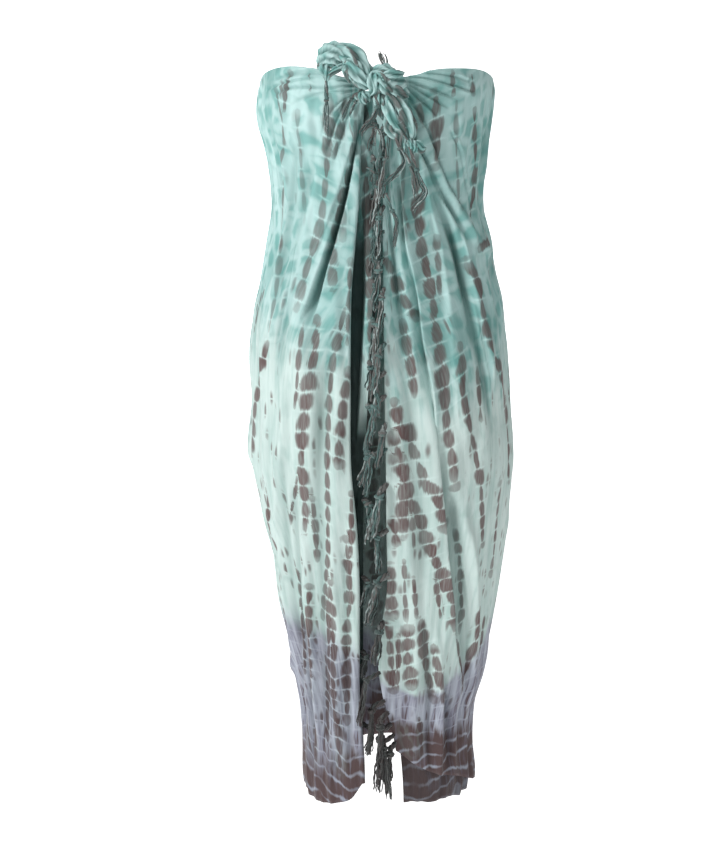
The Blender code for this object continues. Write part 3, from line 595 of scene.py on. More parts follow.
def ripples(arc, height):
    """Faint uneven waves that run down the cloth, a whole number of each round it, so that all meet."""
    chance = np.random.default_rng(SEED + 1)
    girth = 2 * math.pi * ARC
    total = np.zeros(arc.shape)
    for _ in range(22):
        width = girth / round(girth / chance.uniform(14, 46))
        length = chance.uniform(160, 520)
        slant = chance.uniform(-0.12, 0.12)
        strength = chance.uniform(0.2, 0.6) * width / 30
        phase = chance.uniform(0, 2 * math.pi, 2)
        total += strength * np.sin(2 * math.pi * (arc + slant * height) / width + phase[0]
                                   + 1.3 * np.sin(2 * math.pi * height / length + phase[1]))
    return total * smooth_step(20, -60, height)


def cloth_points(angle, height):
    """Points of the cloth's outer face, with its creases and waves."""
    shape = angle.shape
    angle, height = angle.ravel(), height.ravel()
    out, lean = crease_moves(angle * ARC, height)
    out += ripples(angle * ARC, height)
    angle = angle + lean / ARC
    left, right, front, back = read_table(SECTIONS, height)
    half = (right - left) / 2
    facing = np.cos(angle)
    depth = np.where(facing > 0, front, back)
    x = signed_power(np.sin(angle), 2 / ROUNDNESS)
    y = -signed_power(facing, 2 / ROUNDNESS)
    normal = np.column_stack([signed_power(x, ROUNDNESS - 1) / half, signed_power(y, ROUNDNESS - 1) / depth])
    normal /= np.linalg.norm(normal, axis=1)[:, None]
    points = np.column_stack([(left + right) / 2 + half * x, depth * y, height])
    points[:, :2] += normal * out[:, None]
    return points.reshape(*shape, 3)


def layer_points(across, height, inward):
    """Points of an inner layer at the front, straight behind the outer face."""
    points = cloth_points(angle_at(across, height), height)
    points[..., 0] = across
    points[..., 1] += inward
    return points


def make_chains():
    """Every chain of marks: half a mark's width, its strength and its path."""
    chains = [(half, ink, front_path(path)) for half, ink, path in FRONT_CHAINS]
    chance = np.random.default_rng(SEED + 2)
    for k in range(BACK_CHAIN_COUNT):
        place = mix(98, 262, (k + chance.uniform(0.25, 0.75)) / BACK_CHAIN_COUNT)
        place = place if place < 180 else place - 360
        top = chance.uniform(-330, -20) if k % 2 else chance.uniform(-120, -10)
        bottom = chance.uniform(-930, -560)
        sway = chance.uniform(-9, 9)
        path = (
            (place, top),
            (place + 0.4 * sway, mix(top, bottom, 0.35)),
            (place - 0.3 * sway, mix(top, bottom, 0.7)),
            (place + 0.2 * sway, bottom),
        )
        chains.append((chance.uniform(4, 7), chance.uniform(0.6, 0.95), round_path(path)))
    return chains


CHAINS = make_chains()


def dye_attributes(arc, height):
    """The nearest chain to each point: its side distance in half widths, its number and its strength."""
    gap = np.full(arc.shape, 6.0)
    chain = np.zeros(arc.shape)
    ink = np.zeros(arc.shape)
    for number, (half, strength, path) in enumerate(CHAINS):
        near, distance, along, length = path_places(path, arc, height, 30)
        place = along / length
        share = np.abs(distance) / half
        closer = share < gap[near]
        rows = near[closer]
        gap[rows] = share[closer]
        chain[rows] = number
        ends = smooth_step(-0.01, 0.1, place) * smooth_step(-0.01, 0.1, 1 - place)
        ink[rows] = (strength * mix(0.5, 1, ends))[closer]
    return gap, chain, ink


def tie_lines(arc, height):
    """Counts the ties down the cloth, whole where it was tied, in lines that dip to the front edges."""
    slope = np.where(arc < 0, mix(0.22, 0.3, smooth_step(-200, -500, height)),
                     mix(0.45, 0.3, smooth_step(-700, -880, height)))
    rise = slope * np.minimum(np.abs(arc), 230) + 0.12 * np.maximum(0, np.abs(arc) - 230)
    sway = 3.4 * np.sin(6 * arc / ARC + height / 170) + 2.6 * np.sin(12 * arc / ARC - height / 90 + 1)
    sway += 3 * np.sin(height / 61 + arc / ARC)
    below = np.arange(CHAIN_PITCHES[0][0], CHAIN_PITCHES[-1][0])
    count = np.cumsum(1 / np.interp(below, *np.array(CHAIN_PITCHES, float).T))
    return np.interp(rise - height + sway, below, count)


def band_place(arc, height):
    """The height on a cloth whose bands are level: 0 to -1 teal, to -2 mint, to -3 lavender, then brown."""
    degrees = (-180, -90, -45, 0, 45, 90, 180)
    across = np.interp(np.degrees(arc / ARC), degrees, (0, -190, -110, 0, 110, 190, 0))
    first, second, third = read_table(BANDS, across)
    low = np.where(height > third, -2 - (second - height) / (second - third), -3 - (third - height) / 100)
    low = np.where(height > second, -1 - (first - height) / (first - second), low)
    return np.where(height > first, -np.clip(height / first, -1, 1), low)


def fall_lines(arc, height):
    """The place round the cloth before it was drawn up to the knot, so streaks run into the knot."""
    knot = angle_at(np.array(-8.0), np.array(-20.0)) * ARC
    away = arc - knot
    pull = 4.6 * smooth_step(-430, -170, height)
    return knot + away * (1 + pull * np.exp(-np.abs(away) / 36))


def select_only(thing):
    bpy.ops.object.select_all(action="DESELECT")
    thing.select_set(True)
    bpy.context.view_layer.objects.active = thing


def apply_modifiers(thing):
    select_only(thing)
    for modifier in list(thing.modifiers):
        bpy.ops.object.modifier_apply(modifier=modifier.name)


def add_mesh(name, points, faces):
    mesh = bpy.data.meshes.new(name)
    mesh.from_pydata(points.tolist(), [], faces if isinstance(faces, list) else faces.tolist())
    mesh.validate()
    mesh.shade_smooth()
    thing = bpy.data.objects.new(name, mesh)
    bpy.context.scene.collection.objects.link(thing)
    return thing


def set_attribute(thing, name, values):
    attribute = thing.data.attributes.new(name, "FLOAT", "POINT")
    attribute.data.foreach_set("value", np.asarray(values, np.float32).ravel())


def grid_faces(rows, columns):
    corner = np.arange((rows - 1) * columns).reshape(rows - 1, columns)[:, :-1].ravel()
    return np.column_stack([corner, corner + columns, corner + columns + 1, corner + 1])


def sheet_piece(name, points, arc, height, painted_shade=0):
    """A sheet of cloth from rows of outer points, with its dyed marks; the last argument is painted shade for
    a layer that lies hidden.
    """
    rows, columns = points.shape[:2]
    thing = add_mesh(name, points.reshape(-1, 3) * MM, grid_faces(rows, columns))
    arc, height = arc.ravel(), height.ravel()
    side, chain, ink = dye_attributes(arc, height)
    set_attribute(thing, "dye_side", side)
    set_attribute(thing, "dye_id", chain)
    set_attribute(thing, "dye_ink", ink)
    set_attribute(thing, "tie", tie_lines(arc, height))
    set_attribute(thing, "band", band_place(arc, height))
    # Painted shade: darker colour in the troughs of the creases, by their depth, and over layers that lie
    # hidden, by the last argument.
    hollow = np.clip(-crease_moves(arc, height)[0] / FOLD_SHADE_DEPTH, 0, PAINTED_SHADE_LIMIT)
    set_attribute(thing, "hollow", np.maximum(hollow, np.broadcast_to(painted_shade, points.shape[:2]).ravel()))
    set_places(thing, np.column_stack([fall_lines(arc, height), height]) * MM)
    wall = thing.modifiers.new("Cloth thickness", "SOLIDIFY")
    wall.thickness = CLOTH * MM
    wall.offset = -1
    apply_modifiers(thing)
    return thing


def row_shares(close_rows, open_rows, close_to=0.13):
    """Rows from the rim at 0 to the hem at 1, closer together in the gathered stretch under the rim."""
    upper = np.linspace(0, close_to, close_rows, endpoint=False)
    lower = np.linspace(close_to, 1, open_rows)
    return np.concatenate([upper, lower])


# The rows that the two front panels share.
FRONT_ROWS = row_shares(76, 172, 0.11)


def sheet_heights(rim_rows, hem_rows, places, shares):
    """The height of each point of a sheet, row by row from its rim to its hem."""
    rim, = read_table(rim_rows, places)
    hem, = read_table(hem_rows, places)
    return mix(rim, hem, shares[:, None])


def left_front():
    places = 1 - np.linspace(0, 1, 174) ** 1.12
    height = sheet_heights(LEFT_RIM, LEFT_HEM, places, FRONT_ROWS)
    edge = read_table(FRONT_EDGES, height)[0] - FOLD_RADIUS
    angle = mix(angle_at(edge, height), -math.pi / 2, places)
    fold_height = mix(LEFT_RIM[0][1], LEFT_HEM[0][1], FRONT_ROWS)
    fold = read_table(FRONT_EDGES, fold_height)[0] - FOLD_RADIUS
    fold_arc = angle_at(fold, fold_height) * ARC
    columns = []
    arcs = []
    for turn in np.linspace(0, math.pi, 9)[1:]:
        point = layer_points(fold, fold_height, FOLD_RADIUS * (1 - math.cos(turn)))
        point[:, 0] += FOLD_RADIUS * math.sin(turn)
        columns.append(point)
        arcs.append(fold_arc + turn * FOLD_RADIUS)
    for share in (0.35, 0.7, 1):
        columns.append(layer_points(fold - RETURN_WIDTH * share, fold_height, LAYER_GAP))
        arcs.append(fold_arc + FOLD_GIRTH + RETURN_WIDTH * share)
    points = np.concatenate([cloth_points(angle, height), np.stack(columns, 1)], 1)
    arc = np.concatenate([angle * ARC, np.stack(arcs, 1)], 1)
    heights = np.concatenate([height, np.repeat(fold_height[:, None], len(arcs), 1)], 1)
    return sheet_piece("Left_front_panel", points, arc, heights)


def left_end():
    height = mix(-10, -975, row_shares(50, 180))
    fold, end, _ = read_table(FRONT_EDGES, height)
    start = fold - FOLD_RADIUS - RETURN_WIDTH
    first_arc = angle_at(fold, height) * ARC + CURL_ARC
    columns = []
    arcs = []
    # Painted shade for this strip: half on its curl, and a painted shadow in the valley beside the fold and
    # on the hidden strip below.
    painted_shade = []
    for turn in np.linspace(0, math.pi, 7)[:-1]:
        point = layer_points(start, height, LAYER_GAP + CURL_GAP / 2 * (1 - math.cos(turn)))
        point[:, 0] -= CURL_GAP / 2 * math.sin(turn)
        columns.append(point)
        arcs.append(first_arc + turn * CURL_GAP / 2)
        painted_shade.append(np.full(height.shape, 0.5))
    valley = smooth_step(-110, -250, height)
    hidden = smooth_step(-430, -500, height)
    for share in np.linspace(0, 1, 30):
        across = mix(start, end, share)
        wave = 1.2 * np.sin(share * 9 + height / 70) * (1 - share * 0.3)
        dip = smooth_step(fold - 4, fold + 2, across) * smooth_step(end - 10, end - 14, across)
        dip = np.maximum(dip, hidden)
        inward = LAYER_GAP + CURL_GAP + wave + VALLEY_DEPTH * valley * dip
        columns.append(layer_points(across, height, inward))
        arcs.append(first_arc + CURL_GIRTH + (end - start) * share)
        painted_shade.append(np.maximum(valley, hidden) * dip)
    heights = np.repeat(height[:, None], len(columns), 1)
    return sheet_piece("Left_end_strip_cloth", np.stack(columns, 1), np.stack(arcs, 1), heights,
                       np.stack(painted_shade, 1))


def right_angles(places, height):
    """The angles round the tube from the right front's cut edge to the side line."""
    edge = read_table(FRONT_EDGES, height)[2]
    return mix(angle_at(edge, height), math.pi / 2, places)


def right_front():
    places = np.linspace(0, 1, 186) ** 1.08
    height = sheet_heights(RIGHT_RIM, RIGHT_HEM, places, FRONT_ROWS)
    angle = right_angles(places, height)
    return sheet_piece("Right_front_panel", cloth_points(angle, height), angle * ARC, height)


def under_hem():
    places = np.linspace(0.03, 0.93, 90)
    shares = np.linspace(0, 1, 44)[:, None]
    top = sheet_heights(RIGHT_RIM, RIGHT_HEM, places, np.array([0.87]))
    bottom = -1021 + 14 * np.maximum(0, places - 0.7) + 1.6 * np.sin(places * 17)
    height = mix(top, bottom, shares)
    angle = right_angles(places, height)
    points = cloth_points(angle, height)
    inward = mix(2.5, 9, shares) + 0.8 * np.sin(places * 31) * shares
    points[..., 0] -= np.sin(angle) * inward
    points[..., 1] += np.cos(angle) * inward
    # The inner layer under the hem is given painted shade, at 0.45.
    return sheet_piece("Under_hem_cloth", points, angle * ARC + 60, height - 34, 0.45)


def back():
    places = np.linspace(0, 1, 170)
    height = sheet_heights(BACK_RIM, BACK_HEM, 1 - places, row_shares(44, 150))
    angle = math.pi / 2 + math.pi * places
    angle = np.where(angle > math.pi, angle - 2 * math.pi, angle) + 0 * height
    return sheet_piece("Back_panel", cloth_points(angle, height), angle * ARC, height)


def to_world(course_rows):
    """Across, forward and up turned into x, y and z."""
    return np.column_stack([course_rows[:, 0], -course_rows[:, 1], course_rows[:, 2]])


def tube_frames(spine):
    """The sideways and forward directions at each point of a course."""
    along = np.gradient(spine, axis=0)
    along /= np.linalg.norm(along, axis=1)[:, None]
    side = np.cross(along, (0, -1, 0.02))
    side /= np.linalg.norm(side, axis=1)[:, None]
    return side, np.cross(side, along)


def tube_faces(rings, sides):
    """Faces of a closed tube whose two poles follow its rings."""
    ring = np.arange(rings - 1)[:, None] * sides
    here = np.arange(sides)[None, :]
    after = (here + 1) % sides
    walls = np.stack([ring + here, ring + after, ring + sides + after, ring + sides + here], -1)
    first, last = rings * sides, rings * sides + 1
    here, after = here.ravel(), after.ravel()
    top = np.column_stack([np.full(sides, first), after, here])
    base = (rings - 1) * sides
    bottom = np.column_stack([np.full(sides, last), base + here, base + after])
    return walls.reshape(-1, 4).tolist() + top.tolist() + bottom.tolist()


def with_poles(values):
    """Values for a closed tube's points, ring by ring, and then for its two poles."""
    return np.append(values, values.ravel()[[0, -1]])


def wound_bands(name, bands):
    """Bands of gathered cloth, each a closed fluted tube, as one piece."""
    chance = np.random.default_rng(SEED + len(bands))
    points = []
    faces = []
    places = []
    data = {}
    turn = np.linspace(0, 2 * math.pi, BAND_SIDES, endpoint=False)[None, :]
    whole = np.ones((BAND_RINGS, BAND_SIDES))
    for number, (_, grooves, groove_depth, twist, rows) in enumerate(bands):
        line = course(rows, BAND_RINGS)
        half_width = line[:, 3:4]
        spine = to_world(line)
        side, front = tube_frames(spine)
        length = lengths_along(spine)[:, None]
        share = length / length[-1]
        phase = chance.uniform(0, 6.28, 4)
        depth = groove_depth * GROOVE_STRENGTH
        reach = (1 + depth * np.cos(grooves * (turn + twist * 2 * math.pi * share) + phase[0])
                 + 0.55 * depth * np.cos((2 * grooves - 1) * turn + 5 * share + phase[1])
                 + 0.25 * depth * np.cos((3 * grooves + 1) * turn - 9 * share + phase[2]))
        taper = np.sqrt(np.clip(np.minimum(share, 1 - share) * 14, 0.02, 1))
        wide = half_width * taper * reach * np.cos(turn)
        deep = line[:, 4:5] * taper * reach * np.sin(turn)
        ring = spine[:, None] + side[:, None] * wide[..., None] + front[:, None] * deep[..., None]
        first = number * (BAND_RINGS * BAND_SIDES + 2)
        points += [ring.reshape(-1, 3), spine[[0, -1]]]
        faces += [[first + v for v in face] for face in tube_faces(BAND_RINGS, BAND_SIDES)]
        from_seam = np.abs((turn + 2.2 * share + phase[3]) % (2 * math.pi) - math.pi)
        dye_and_painted_shade = {
            "dye_side": from_seam * half_width / BAND_MARK,
            "dye_id": 300.0 + number,
            "dye_ink": 0.75,
            "tie": length / BAND_PITCH + phase[0],
            "band": -0.25,
            # Painted shade on the knot's cloth: some over every band, more in each groove.
            "hollow": np.clip(0.3 + (1 - reach) / depth * 0.5, 0, PAINTED_SHADE_LIMIT),
        }
        for key, values in dye_and_painted_shade.items():
            data.setdefault(key, []).append(with_poles(values * whole))
        around = with_poles((turn * half_width + 200 * number) * whole)
        places.append(np.column_stack([around, with_poles(length * whole)]) * MM)
    thing = add_mesh(name, np.concatenate(points) * MM, faces)
    for key, values in data.items():
        set_attribute(thing, key, np.concatenate(values))
    set_places(thing, np.concatenate(places))
    face_outward(thing)
    return thing


def face_outward(thing):
    """Turns all faces outward."""
    select_only(thing)
    bpy.ops.object.mode_set(mode="EDIT")
    bpy.ops.mesh.select_all(action="SELECT")
    bpy.ops.mesh.normals_make_consistent(inside=False)
    bpy.ops.object.mode_set(mode="OBJECT")


def set_places(thing, places):
    """Gives a piece its UV map, which holds each point's own place on the cloth in metres."""
    layer = thing.data.uv_layers.new(name="Cloth")
    loops = np.empty(len(thing.data.loops), np.int32)
    thing.data.loops.foreach_get("vertex_index", loops)
    layer.data.foreach_set("uv", places[loops].astype(np.float32).ravel())


def tassel_strands(rows, fullness, thickness, chance, wound):
    """One tassel's strands: three twisted yarns, the knot they are tied in, and its crimped threads."""
    spine = to_world(course(rows, 60))
    length = lengths_along(spine)
    frames = (spine, *tube_frames(spine))

    def place(share):
        keys = np.clip(share, 0, 1) * length[-1]
        return [np.stack([np.interp(keys, length, values[:, c]) for c in range(3)], -1) for values in frames]

    def beside(share, aside, forward):
        centre, across, ahead = place(share)
        return centre + across * aside[:, None] + ahead * forward[:, None]

    strands = []
    share = np.linspace(0, wound, STRAND_RINGS)
    spin = chance.uniform(0, 6.28)
    for k in range(3):
        angle = spin + k * 2.09 + share / wound * 5.5
        swell = 1.25 * thickness * mix(0.55, 1, np.sin(np.linspace(0, math.pi, STRAND_RINGS)))
        line = beside(share, np.cos(angle) * swell, np.sin(angle) * swell)
        strands.append((line, np.full(STRAND_RINGS, 1.05 * thickness), chance.uniform(0.3, 0.9)))
    _, across, ahead = (v[0] for v in place(np.array([wound])))
    along = np.cross(across, ahead)
    for k in range(2):
        turn = np.linspace(0, 5.8, STRAND_RINGS) + chance.uniform(0, 6.28)
        tilt = chance.uniform(-0.6, 0.6)
        radius = chance.uniform(2.0, 2.6) * thickness
        line = beside(np.full(STRAND_RINGS, wound), np.cos(turn) * radius, np.sin(turn) * radius)
        line += along * (np.sin(turn + 1) * tilt * radius + (k - 0.5) * 1.5 * thickness)[:, None]
        strands.append((line, np.full(STRAND_RINGS, 1.1 * thickness), chance.uniform(0.2, 0.6)))
    for _ in range(fullness):
        share = np.linspace(wound * 0.9, chance.uniform(0.82, 1.06), STRAND_RINGS)
        open_out = (share - wound) / (1 - wound)
        spread = chance.uniform(0.1, 1) * 3.1 * thickness * np.clip(open_out * 1.5, 0, 1) ** 0.7 + 0.8
        angle = chance.uniform(0, 6.28) + chance.uniform(-2.4, 2.4) * open_out
        crimp = np.sin(share * length[-1] / chance.uniform(2, 4.5) + chance.uniform(0, 6.28))
        line = beside(share, np.cos(angle) * spread + 0.45 * thickness * crimp, np.sin(angle) * spread)
        line[:, 2] -= np.clip(share - 1, 0, 1) * length[-1]
        radius = chance.uniform(0.46, 0.8) * thickness * mix(1, 0.7, open_out)
        strands.append((line, radius, chance.uniform(0, 1)))
    return strands


def yarn_piece(name, strands):
    """All the strands of a fringe or a set of tassels, as one piece of closed tubes."""
    spine = np.array([line for line, _, _ in strands])
    radius = np.array([radius for _, radius, _ in strands])
    tone = np.array([tone for _, _, tone in strands])
    along = np.gradient(spine, axis=1)
    along /= np.linalg.norm(along, axis=2)[..., None]
    side = np.cross(along, (0.25, -0.9, 0.36))
    side /= np.linalg.norm(side, axis=2)[..., None]
    front = np.cross(side, along)
    turn = np.linspace(0, 2 * math.pi, STRAND_SIDES, endpoint=False)
    ring = (spine[:, :, None] + side[:, :, None] * (radius[..., None] * np.cos(turn))[..., None]
            + front[:, :, None] * (radius[..., None] * np.sin(turn))[..., None])
    count = len(strands)
    poles = np.stack([spine[:, 0] - along[:, 0] * 0.3, spine[:, -1] + along[:, -1] * 0.5], 1)
    points = np.concatenate([ring.reshape(count, -1, 3), poles], 1)
    per_strand = points.shape[1]
    one = tube_faces(STRAND_RINGS, STRAND_SIDES)
    faces = [[n * per_strand + v for v in face] for n in range(count) for face in one]
    thing = add_mesh(name, points.reshape(-1, 3) * MM, faces)
    set_attribute(thing, "yarn_tone", np.repeat(tone, per_strand))
    set_attribute(thing, "yarn_low", smooth_step(-560, -900, points[..., 2]))
    length = np.linalg.norm(np.diff(spine, axis=1), axis=2).cumsum(1)
    length = np.concatenate([np.zeros((count, 1)), length], 1)
    along_place = np.repeat(length[:, :, None], STRAND_SIDES, 2).reshape(count, -1)
    along_place = np.concatenate([along_place, length[:, [0, -1]]], 1)
    round_place = np.tile(turn[None, None, :], (count, STRAND_RINGS, 1)).reshape(count, -1)
    round_place = np.concatenate([round_place, np.zeros((count, 2))], 1) + 7 * np.arange(count)[:, None]
    set_places(thing, np.column_stack([round_place.ravel(), along_place.ravel()]) * MM)
    face_outward(thing)
    return thing


def tassel_piece(name, tassels):
    chance = np.random.default_rng(SEED + len(name))
    strands = []
    for fullness, thickness, rows in tassels:
        strands += tassel_strands(rows, fullness, thickness, chance, TASSEL_WOUND)
    return yarn_piece(name, strands)


def edge_point(column, height, inward):
    """The point at a height on one of the front's edges, on a layer behind the outer one."""
    across = read_table(FRONT_EDGES, np.array([height]))[column]
    return layer_points(across, np.array([height]), inward)[0]


def edge_locks(name, column, top, bottom, step, side, inward, fullness, reach, extra=()):
    """The fringe down a cut edge, lock by lock from the lanes in turn."""
    chance = np.random.default_rng(SEED + len(name))
    locks = []
    height = top
    while height > bottom:
        locks.append((height, *LOCK_LANES[len(locks) % len(LOCK_LANES)]))
        height -= step * chance.uniform(0.85, 1.15) * mix(1.15, 2.3, smooth_step(-430, -560, height))
    strands = []
    for height, aside, forward, length, drift in (*locks, *extra):
        x, y, z = edge_point(column, height, inward)
        close = mix(0.5, 1, smooth_step(-290, -430, height))
        drift *= close
        aside = side * aside * reach * close * chance.uniform(0.85, 1.15)
        forward *= reach
        length = length * reach * chance.uniform(0.9, 1.1)
        rows = (
            (x - side * 1.5, -y + 0.5, z),
            (x + 0.45 * aside, -y + 0.7 * forward, z - 4),
            (x + aside, -y + forward, z - 10),
            (x + aside + 0.4 * drift, -y + forward, z - 10 - 0.45 * length),
            (x + aside + drift, -y + 0.9 * forward, z - 10 - length),
        )
        thickness = chance.uniform(1.65, 2.2) * mix(0.72, 1, close)
        strands += tassel_strands(rows, fullness, thickness, chance, LOCK_WOUND)
    return yarn_piece(name, strands)


def adds_math(operation, swapped=False):
    """A method of Wire that adds a Math node on its own value and on the other one, where there is one."""
    def act(self, *others):
        values = (*others, self) if swapped else (self, *others)
        return self.paint.node("ShaderNodeMath", {"operation": operation}, dict(enumerate(values)))
    return act


class Wire:
    """A socket of a material's nodes that takes part in sums as a number does."""

    def __init__(self, paint, socket):
        self.paint = paint
        self.socket = socket

    __add__ = __radd__ = adds_math("ADD")
    __sub__ = adds_math("SUBTRACT")
    __rsub__ = adds_math("SUBTRACT", swapped=True)
    __mul__ = __rmul__ = adds_math("MULTIPLY")
    __truediv__ = adds_math("DIVIDE")
    __pow__ = adds_math("POWER")
    __abs__ = adds_math("ABSOLUTE")
    fraction = adds_math("FRACT")
    floor = adds_math("FLOOR")
    round = adds_math("ROUND")
    at_most = adds_math("MINIMUM")
    at_least = adds_math("MAXIMUM")

    def step(self, low, high):
        """0 below low and 1 above high, with a soft rise between, or the other way round."""
        if low > high:
            return 1 - self.step(high, low)
        return self.paint.node("ShaderNodeMapRange", {"interpolation_type": "SMOOTHSTEP"},
                               {0: self, 1: low, 2: high, 3: 0.0, 4: 1.0})


class Paint:
    """A cloth or yarn material and the one way in which its nodes are added."""

    def __init__(self, name, **constants):
        self.material = bpy.data.materials.new(name)
        self.material.use_nodes = True
        self.tree = self.material.node_tree
        self.shader = self.tree.nodes["Principled BSDF"]
        for socket, value in constants.items():
            self.shader.inputs[socket.replace("_", " ")].default_value = value

    def node(self, kind, settings=(), values=(), output=0):
        node = self.tree.nodes.new(kind)
        for key, value in dict(settings).items():
            setattr(node, key, value)
        for key, value in dict(values).items():
            socket = node.inputs[key]
            if isinstance(value, Wire):
                self.tree.links.new(value.socket, socket)
            else:
                socket.default_value = value
        return Wire(self, node.outputs[output])

    def attribute(self, name):
        return self.node("ShaderNodeAttribute", {"attribute_name": name}, {}, "Fac")

    def cloth_place(self, across, down):
        """The cloth's own place, stretched for a pattern that is longer one way than the other."""
        place = self.node("ShaderNodeUVMap", {"uv_map": "Cloth"})
        return self.node("ShaderNodeMapping", {}, {"Vector": place, "Scale": (across, down, 1)})

    def noise(self, across, down, scale, detail=2, roughness=0.5):
        """Uneven patches on the cloth, which are longer down it where down is less than across."""
        return self.node("ShaderNodeTexNoise", {}, {
            "Vector": self.cloth_place(across, down), "Scale": scale,
            "Detail": detail, "Roughness": roughness})

    def wave(self, direction, scale, distortion):
        """The rise and fall of threads that lie across, down or on the slant."""
        return self.node("ShaderNodeTexWave", {"bands_direction": direction}, {
            "Vector": self.cloth_place(1, 1), "Scale": scale, "Distortion": distortion})

    def spot(self, x, y):
        """A place made of two values."""
        return self.node("ShaderNodeCombineXYZ", {}, {0: x, 1: y, 2: 0.0})

    def cells(self, place, randomness, feature="F1", output=0):
        return self.node("ShaderNodeTexVoronoi", {"feature": feature}, {
            "Vector": place, "Scale": 1.0, "Randomness": randomness}, output)

    def dice(self, x, y):
        """A number from 0 to 1 that stays the same wherever both values do."""
        return self.node("ShaderNodeTexWhiteNoise", {"noise_dimensions": "2D"}, {"Vector": self.spot(x, y)})

    def blend(self, share, first, second):
        """Two colours mixed by a share."""
        return self.node("ShaderNodeMix", {"data_type": "RGBA", "clamp_factor": True},
                         {0: share, 6: first, 7: second}, 2)

    def finish(self, base, bump_height, bump_strength, bump_distance):
        self.tree.links.new(base.socket, self.shader.inputs["Base Color"])
        bump = self.node("ShaderNodeBump", {}, {"Strength": bump_strength, "Distance": bump_distance,
                                                "Height": bump_height})
        self.tree.links.new(bump.socket, self.shader.inputs["Normal"])
        return self.material


def colour(red, green, blue):
    """A colour given as it looks on a screen, from 0 to 255, turned into light."""
    light = [((c / 255 + 0.055) / 1.055) ** 2.4 if c > 10 else c / 255 / 12.92 for c in (red, green, blue)]
    return (*light, 1.0)


PALE_TEAL = colour(184, 214, 212)
TEAL = colour(112, 168, 163)
DEEP_TEAL = colour(62, 122, 116)
MINT = colour(200, 218, 214)
MINT_SHADE = colour(150, 182, 176)
# Painted shade for the folds and hidden layers, and the near-black painted shadow down the front gap.
PAINTED_SHADE_TEAL = colour(26, 84, 79)
PAINTED_SHADE_MINT = colour(92, 122, 118)
PAINTED_SHADE_BROWN = colour(38, 28, 29)
PAINTED_GAP_SHADOW_TEAL = colour(14, 40, 38)
PAINTED_GAP_SHADOW_BROWN = colour(22, 18, 21)
LAVENDER = colour(116, 116, 132)
PALE_LAVENDER = colour(178, 185, 197)
BROWN = colour(74, 55, 55)
MARK_ON_TEAL = colour(88, 78, 76)
MARK_ON_MINT = colour(94, 72, 71)
BINDING = colour(208, 229, 227)
BINDING_ON_BROWN = colour(158, 166, 180)
YARN_TEAL = colour(84, 114, 111)
YARN_PALE = colour(172, 190, 188)
YARN_BROWN = colour(98, 92, 90)
YARN_DEEP = colour(36, 60, 58)
YARN_DARK = colour(46, 36, 36)


